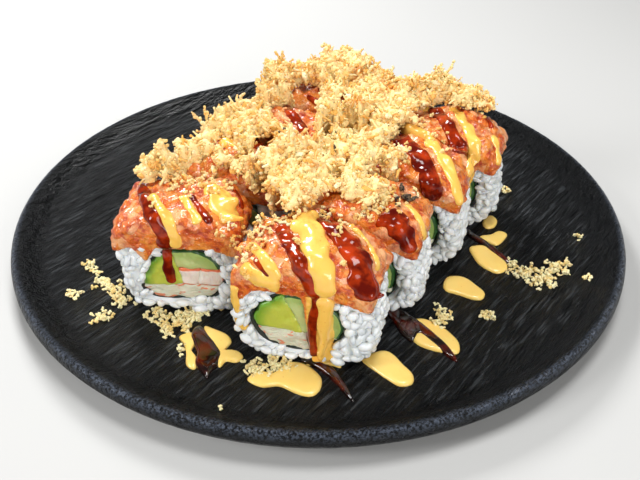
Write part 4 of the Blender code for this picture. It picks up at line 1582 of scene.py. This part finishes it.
def charred_finish():
    """Black and dark brown."""
    skin = Finish("batter_charred")
    cloud = skin.speckle(1.5 * MM, 3)
    colour = skin.blend(skin.between(cloud, 0.4, 0.6), CHARRED_DARK, CHARRED_BROWN)
    return skin.done(Base_Color=colour, Roughness=0.5 + 0.2 * cloud, Normal=skin.relief(cloud, 0.4 * MM))


flake_look = batter_finish("batter_crisp", 0.28)
fallen_look = batter_finish("batter_fallen", 0.1, FALLEN_PALE, FALLEN_GOLDEN)
# The core gets many more of the darker patches: painted shade where it shows between the flakes.
core_look = batter_finish("batter_core", 0.9)
print("batter materials:", flake_look.name, fallen_look.name, core_look.name)

# %% Shapes of the flakes
BEAD = 0.7 * MM
BALLS_PER_CLUSTER = 3
CURL_RINGS = 6
CURL_SIDES = 5


def bead_cluster(draw):
    """Some small beads grown together."""
    bm = bmesh.new()
    for _ in range(BALLS_PER_CLUSTER):
        spot = Vector((draw.gauss(0, 0.9), draw.gauss(0, 0.9), draw.uniform(-0.3, 1.6))) * BEAD
        size = BEAD * draw.uniform(0.6, 1.2)
        add_lump(bm, spot, (size, size * draw.uniform(0.8, 1.2), size), random_turn(draw), 1)
    return mesh_from(bm, "beads")


def curl(draw):
    """A knobbly bent strand that stands up from the heap."""
    bm = bmesh.new()
    length = draw.uniform(3.0, 5.5) * MM
    bend = draw.uniform(-1, 1)
    lines = []
    for step in range(CURL_RINGS):
        share = step / (CURL_RINGS - 1)
        aside = draw.uniform(-0.2, 0.2) * MM
        centre = Vector((bend * share ** 2 * 1.6 * MM, aside, share * length - 0.8 * MM))
        radius = BEAD * (1.0 - 0.55 * share) * draw.uniform(0.7, 1.3)
        line = []
        for corner in range(CURL_SIDES):
            angle = 2 * pi * corner / CURL_SIDES
            line.append(bm.verts.new(centre + Vector((cos(angle), sin(angle), 0)) * radius))
        lines.append(line)
    for first, second in zip(lines, lines[1:]):
        join_lines(bm, first, second)
    bm.faces.new(list(reversed(lines[0])))
    bm.faces.new(lines[-1])
    return mesh_from(bm, "curl")


def shard(draw):
    """A flat, ragged flake."""
    bm = bmesh.new()
    size = draw.uniform(1.3, 2.1) * MM
    add_lump(bm, Vector((0, 0, 0.3 * MM)), (size, size * 0.8, size * 0.45), random_turn(draw), 1)
    for vert in bm.verts:
        vert.co *= draw.uniform(0.65, 1.35)
    return mesh_from(bm, "shard", smooth=False)


draw = random.Random(5)
beads = shape_collection("bead", [bead_cluster(draw) for _ in range(7)])
curls = shape_collection("curl", [curl(draw) for _ in range(7)])
shards = shape_collection("shard", [shard(draw) for _ in range(6)])

# %% Openings in the heap
OPENINGS = [
    # bare topping in the photograph: x, y, half width, half height, slope
    (298, 113, 36, 17, 0.45), (356, 118, 17, 12, 0.0), (232, 142, 22, 11, 0.3),
    (194, 160, 24, 13, -0.2), (384, 167, 15, 11, 0.3), (262, 198, 10, 8, 0.0),
    (257, 167, 7, 6, 0.0), (338, 172, 7, 6, 0.3),
]
OPEN_REACH, OPEN_BLEND = 1.2, 0.35
RAGGED, RAGGED_SIZE = 0.5, 4 * MM
ABOVE_ALL = 100 * MM
SINK_UNDER = 1.6 * MM
SINK_FREE = 10 * MM


def opening_share(point):
    """1 inside an opening, 0 outside it, ragged at its edge."""
    x, y = photo_pixel(point)
    ragged = RAGGED * noise.noise(point / RAGGED_SIZE)
    share = 0.0
    for middle_x, middle_y, half_width, half_height, slope in OPENINGS:
        across = (x - middle_x) / half_width
        down = (y - middle_y - slope * (x - middle_x)) / half_height
        share = max(share, min(1.0, (OPEN_REACH + ragged - hypot(across, down)) / OPEN_BLEND))
    return share


def open_heap(bm, tree):
    """Sink the core into the toppings where the flakes leave them bare."""
    sunk = 0
    for vert in bm.verts:
        share = opening_share(vert.co)
        if share > 0:
            above = Vector((vert.co.x, vert.co.y, ABOVE_ALL))
            spot, _, _, _ = tree.ray_cast(above, Vector((0, 0, -1)))
            low = spot.z - SINK_UNDER if spot else vert.co.z - SINK_FREE
            vert.co.z = min(vert.co.z, vert.co.z + (low - vert.co.z) * share)
            sunk += 1
    return sunk


print("openings:", len(OPENINGS))

# %% The heap's core
HEAP_SHRINK = 1.0 * MM
HEAP_LUMPS = 420
HEAP_VOXEL = 0.95 * MM
# Size, depth and seed of the noise, the coarse one first
HEAP_NOISES = [(4 * MM, 1.6 * MM, 2.0), (1.9 * MM, 1.3 * MM, 9.0)]

heap = node_copy("flake_heap")
shrink(heap, HEAP_SHRINK)
heap.normal_update()
tops = [face for face in heap.faces if face.normal.z > 0.3]
for face in draw.choices(tops, [face.calc_area() for face in tops], k=HEAP_LUMPS):
    size = draw.uniform(1.5, 3.8) * MM
    spot = face.calc_center_median() + Vector((draw.gauss(0, 1.2), draw.gauss(0, 1.2), -1.2)) * MM
    add_lump(heap, spot, (size, size * draw.uniform(0.7, 1), size * draw.uniform(0.6, 1)), random_turn(draw))
heap = remeshed(heap, HEAP_VOXEL, smooth_steps=0)
for noise_size, depth, seed in HEAP_NOISES:
    roughen(heap, noise_size, depth, seed)
top_tree = surface_tree(toppings + stripes)
print("points of the heap in openings:", open_heap(heap, top_tree))
heap_mesh = mesh_from(heap, "heap_core")
heap_item = new_object("flake_core", heap_mesh.copy(), core_look)
settle(heap_item, "flakes", "flake_heap")
print("flake core triangles:", triangles(heap_item))

# %% Flakes on the heap
FLAKE_SCATTERS = [
    # name, shapes, spacing, seed, tilt
    ("flake_beads", beads, 2.1 * MM, 1, 0.9),
    ("flake_curls", curls, 3.8 * MM, 2, 0.9),
    ("flake_shards", shards, 3.2 * MM, 3, 0.8),
]
for name, shapes, spacing, seed, tilt in FLAKE_SCATTERS:
    item = scatter(
        name, heap_mesh.copy(), shapes, spacing, seed, small=0.7, large=1.3, tilt=tilt, look=flake_look,
    )
    settle(item, "flakes", "flake_heap")
    print(name, "triangles:", triangles(item))

# %% [markdown]
# Single flakes lie on the plate and on the toppings. They aren't left to the scatter tree,
# because the photograph shows where each group of them lies. Each crumb is a wandering line
# of beads grown together, like a scrap of coral. A few are charred. Tufts of thicker
# strands stand up along the heap's skyline.

# %% Where single flakes lie
FALLEN = [
    # x and y of the photograph, and how many crumbs lie there
    (86, 264, 3), (92, 268, 5), (97, 273, 4), (98, 281, 4), (104, 285, 8), (110, 289, 9),
    (116, 294, 9), (122, 299, 11), (127, 303, 7), (75, 296, 6), (102, 317, 10), (110, 319, 4),
    (123, 287, 4), (155, 314, 10), (163, 320, 14), (170, 326, 11), (180, 319, 13), (190, 313, 14),
    (198, 317, 14), (206, 309, 12), (168, 332, 6), (185, 326, 8), (255, 373, 9), (262, 368, 12),
    (271, 364, 12), (280, 367, 11), (289, 372, 7), (248, 365, 4), (181, 352, 6), (512, 265, 8),
    (518, 272, 14), (527, 278, 14), (536, 283, 14), (543, 280, 12), (550, 272, 12), (556, 268, 9),
    (563, 272, 11), (548, 284, 8), (566, 265, 6), (533, 271, 6), (586, 279, 4), (484, 315, 6),
    (490, 318, 6), (441, 318, 9), (436, 326, 8), (440, 311, 6), (504, 192, 8), (579, 238, 4),
    (221, 404, 1),
]
CHARRED = [(398, 189, 3), (403, 195, 4), (407, 202, 4), (399, 203, 2), (281, 128, 2), (335, 150, 2)]
LOOSE = [
    # the same for crumbs on the toppings
    (229, 230, 9), (237, 241, 11), (247, 252, 9), (236, 254, 7), (258, 240, 7), (250, 228, 10),
    (268, 229, 8), (285, 221, 6), (243, 264, 5), (330, 211, 8), (345, 219, 5), (300, 209, 7),
    (272, 218, 9), (259, 221, 8), (150, 176, 8), (163, 178, 10), (180, 181, 11), (197, 184, 11),
    (214, 181, 9), (134, 181, 3), (207, 191, 4), (226, 186, 8), (172, 188, 4), (188, 189, 5),
    (372, 205, 11), (385, 200, 11), (365, 213, 9), (381, 214, 5), (400, 206, 5), (392, 196, 9),
    (405, 124, 6), (425, 126, 7), (441, 132, 6), (410, 160, 3), (399, 152, 6), (455, 92, 8),
    (470, 92, 9), (484, 101, 8), (440, 97, 7), (428, 98, 7), (478, 112, 4), (462, 104, 5),
    (350, 262, 2), (302, 243, 2), (340, 226, 4), (420, 190, 4), (447, 150, 3), (155, 200, 2),
]

TUFTS = [
    # x and y of the photograph and height in mm, for tufts that stand up from the heap
    (281, 60, 7), (290, 63, 5), (272, 66, 5), (310, 64, 6), (322, 66, 4), (371, 62, 6),
    (389, 74, 6), (412, 76, 5), (436, 72, 9), (446, 78, 6), (428, 77, 5), (478, 92, 6),
    (213, 116, 6), (151, 160, 7), (162, 158, 5), (240, 101, 6), (192, 136, 5),
]
print("places of flakes:", len(FALLEN), len(LOOSE), len(CHARRED), len(TUFTS))


# %% Crumbs and tufts
BEADS_PER_CRUMB = 12
STRANDS_PER_TUFT = 6
TUFT_LEAN = 0.4
TUFT_WANDER = 0.5


def start_crumbs():
    """An empty bmesh whose points hold a tone."""
    bm = bmesh.new()
    return bm, bm.verts.layers.float.new("tone")


def finish_crumbs(bm, name, look):
    """Make the crumbs one piece."""
    item = new_object(name, mesh_from(bm, name), look)
    settle(item, "flakes")
    print(name, "triangles:", triangles(item))


def add_tuft(bm, foot, height, draw, tone_layer):
    """Strands of beads that grow upwards from one place."""
    for _ in range(STRANDS_PER_TUFT):
        lean = Vector((draw.gauss(0, TUFT_LEAN), draw.gauss(0, TUFT_LEAN), 1)).normalized()
        spot = foot + Vector((draw.gauss(0, 1.3), draw.gauss(0, 1.3), -1)) * MM
        top = spot.z + height * draw.uniform(0.5, 1.1)
        tone = draw.random()
        while spot.z < top:
            size = BEAD * draw.uniform(0.65, 1.3)
            radii = (size, size * draw.uniform(0.7, 1), size)
            for vert in add_lump(bm, spot, radii, random_turn(draw), 1):
                vert[tone_layer] = tone
            wander = Vector((draw.gauss(0, TUFT_WANDER), draw.gauss(0, TUFT_WANDER), 0))
            spot = spot + (lean + wander) * size


def add_crumb(bm, spot, draw, tone_layer):
    """One crisp crumb: beads grown together along a wandering line."""
    tone = draw.random()
    reach = Vector((0, 0, 0))
    for _ in range(BEADS_PER_CRUMB):
        size = BEAD * draw.uniform(0.4, 0.9)
        step = Vector((draw.gauss(0, 1), draw.gauss(0, 1), draw.gauss(0.1, 0.6)))
        reach += step.normalized() * size
        reach.z = max(reach.z, -0.2 * BEAD)
        radii = (size, size * draw.uniform(0.6, 1.1), size * draw.uniform(0.6, 1.1))
        for vert in add_lump(bm, spot + reach, radii, random_turn(draw), 1):
            vert.co += Vector((draw.gauss(0, 1), draw.gauss(0, 1), draw.gauss(0, 1))) * 0.1 * BEAD
            vert[tone_layer] = tone


print("beads in a crumb:", BEADS_PER_CRUMB)

# %% Fallen flakes on the plate
CRUMBS_PER_COUNT = 1.3
FALLEN_REACH = 0.5 * MM

bm, tone_layer = start_crumbs()
for x, y, amount in FALLEN:
    centre = on_plate((x, y))
    for number in range(round(amount * CRUMBS_PER_COUNT)):
        reach = FALLEN_REACH * sqrt(amount)
        spot = centre + Vector((draw.gauss(0, 1) * reach, draw.gauss(0, 1) * reach, 0))
        spot.z = PLATE_FLOOR + BEAD * (0.4 + 0.9 * (number % 3 == 2))
        add_crumb(bm, spot, draw, tone_layer)
finish_crumbs(bm, "fallen_flakes", fallen_look)

# %% Loose and charred flakes on the food
LOOSE_REACH = 1.9
CHARRED_REACH = 2.2

bm, tone_layer = start_crumbs()
for x, y, amount in LOOSE:
    for _ in range(amount):
        reach = LOOSE_REACH * sqrt(amount)
        ray = photo_ray((x + draw.gauss(0, reach), y + draw.gauss(0, reach)))
        spot, normal, _, _ = top_tree.ray_cast(CAMERA_PLACE, ray)
        if spot is not None and normal.z > 0.1:
            add_crumb(bm, spot + normal * BEAD * 0.5, draw, tone_layer)
finish_crumbs(bm, "loose_flakes", flake_look)

bm, tone_layer = start_crumbs()
full_tree = surface_tree(toppings + [heap_item])
for x, y, amount in CHARRED:
    for _ in range(amount):
        ray = photo_ray((x + draw.gauss(0, CHARRED_REACH), y + draw.gauss(0, CHARRED_REACH)))
        spot, normal, _, _ = full_tree.ray_cast(CAMERA_PLACE, ray)
        if spot is not None:
            add_crumb(bm, spot + normal * BEAD, draw, tone_layer)
finish_crumbs(bm, "charred_flakes", charred_finish())

# %% Tufts on the heap
FOOT_BELOW = 6

bm, tone_layer = start_crumbs()
for x, y, height in TUFTS:
    spot, _, _, _ = full_tree.ray_cast(CAMERA_PLACE, photo_ray((x, y + FOOT_BELOW)))
    if spot is not None:
        add_tuft(bm, spot, height * MM, draw, tone_layer)
finish_crumbs(bm, "flake_tufts", flake_look)

# %% [markdown]
# A plain pale floor and four soft studio lights finish the scene. The boxes behind, over
# and to the left of the food give the sauces their shine, as in the photograph, and a
# larger one in front fills the shadows on the cut faces.


# %% Floor
FLOOR_HALF = 3.0
FLOOR_DROP = 0.5 * MM


def floor_finish():
    """Plain pale grey."""
    skin = Finish("studio_floor")
    cloud = skin.speckle(200 * MM, 1)
    colour = skin.blend(cloud, (0.50, 0.50, 0.49), (0.53, 0.53, 0.52))
    return skin.done(Base_Color=colour, Roughness=0.7)


bm = bmesh.new()
bmesh.ops.create_grid(bm, x_segments=1, y_segments=1, size=FLOOR_HALF)
bmesh.ops.translate(bm, verts=bm.verts, vec=(0, 0, -FLOOR_DROP))
floor = new_object("floor", mesh_from(bm, "floor", smooth=False), floor_finish())
print("floor side in m:", 2 * FLOOR_HALF)

# %% Lights
LIGHTS = {
    # name: place and size in metres, power in watts
    "back_box": ((-0.28, 0.62, 0.62), 0.26, 7.4),
    "top_box": ((0.1, 0.05, 0.95), 0.34, 5.6),
    "left_box": ((-0.7, -0.35, 0.5), 0.22, 4.0),
    "front_fill": ((0.35, -0.8, 0.35), 0.5, 5.2),
}
LIGHT_TARGET = Vector((0, 0, 0.02))
WORLD_COLOUR, WORLD_STRENGTH = (1.0, 0.99, 0.97, 1), 0.12


def area_light(name, place, size, power):
    """A square soft box that looks at the food."""
    data = bpy.data.lights.new(name, "AREA")
    data.size = size
    data.energy = power
    item = bpy.data.objects.new(name, data)
    item.location = place
    item.rotation_euler = (LIGHT_TARGET - Vector(place)).to_track_quat("-Z", "Y").to_euler()
    bpy.context.scene.collection.objects.link(item)


for name, (place, size, power) in LIGHTS.items():
    area_light(name, place, size, power)
world = bpy.data.worlds.new("studio")
world.use_nodes = True
world.node_tree.nodes["Background"].inputs["Color"].default_value = WORLD_COLOUR
world.node_tree.nodes["Background"].inputs["Strength"].default_value = WORLD_STRENGTH
bpy.context.scene.world = world
print("lights:", len(LIGHTS))

# %% [markdown]
# At the end the view layer is brought up to date.

# %% The end
bpy.context.view_layer.update()
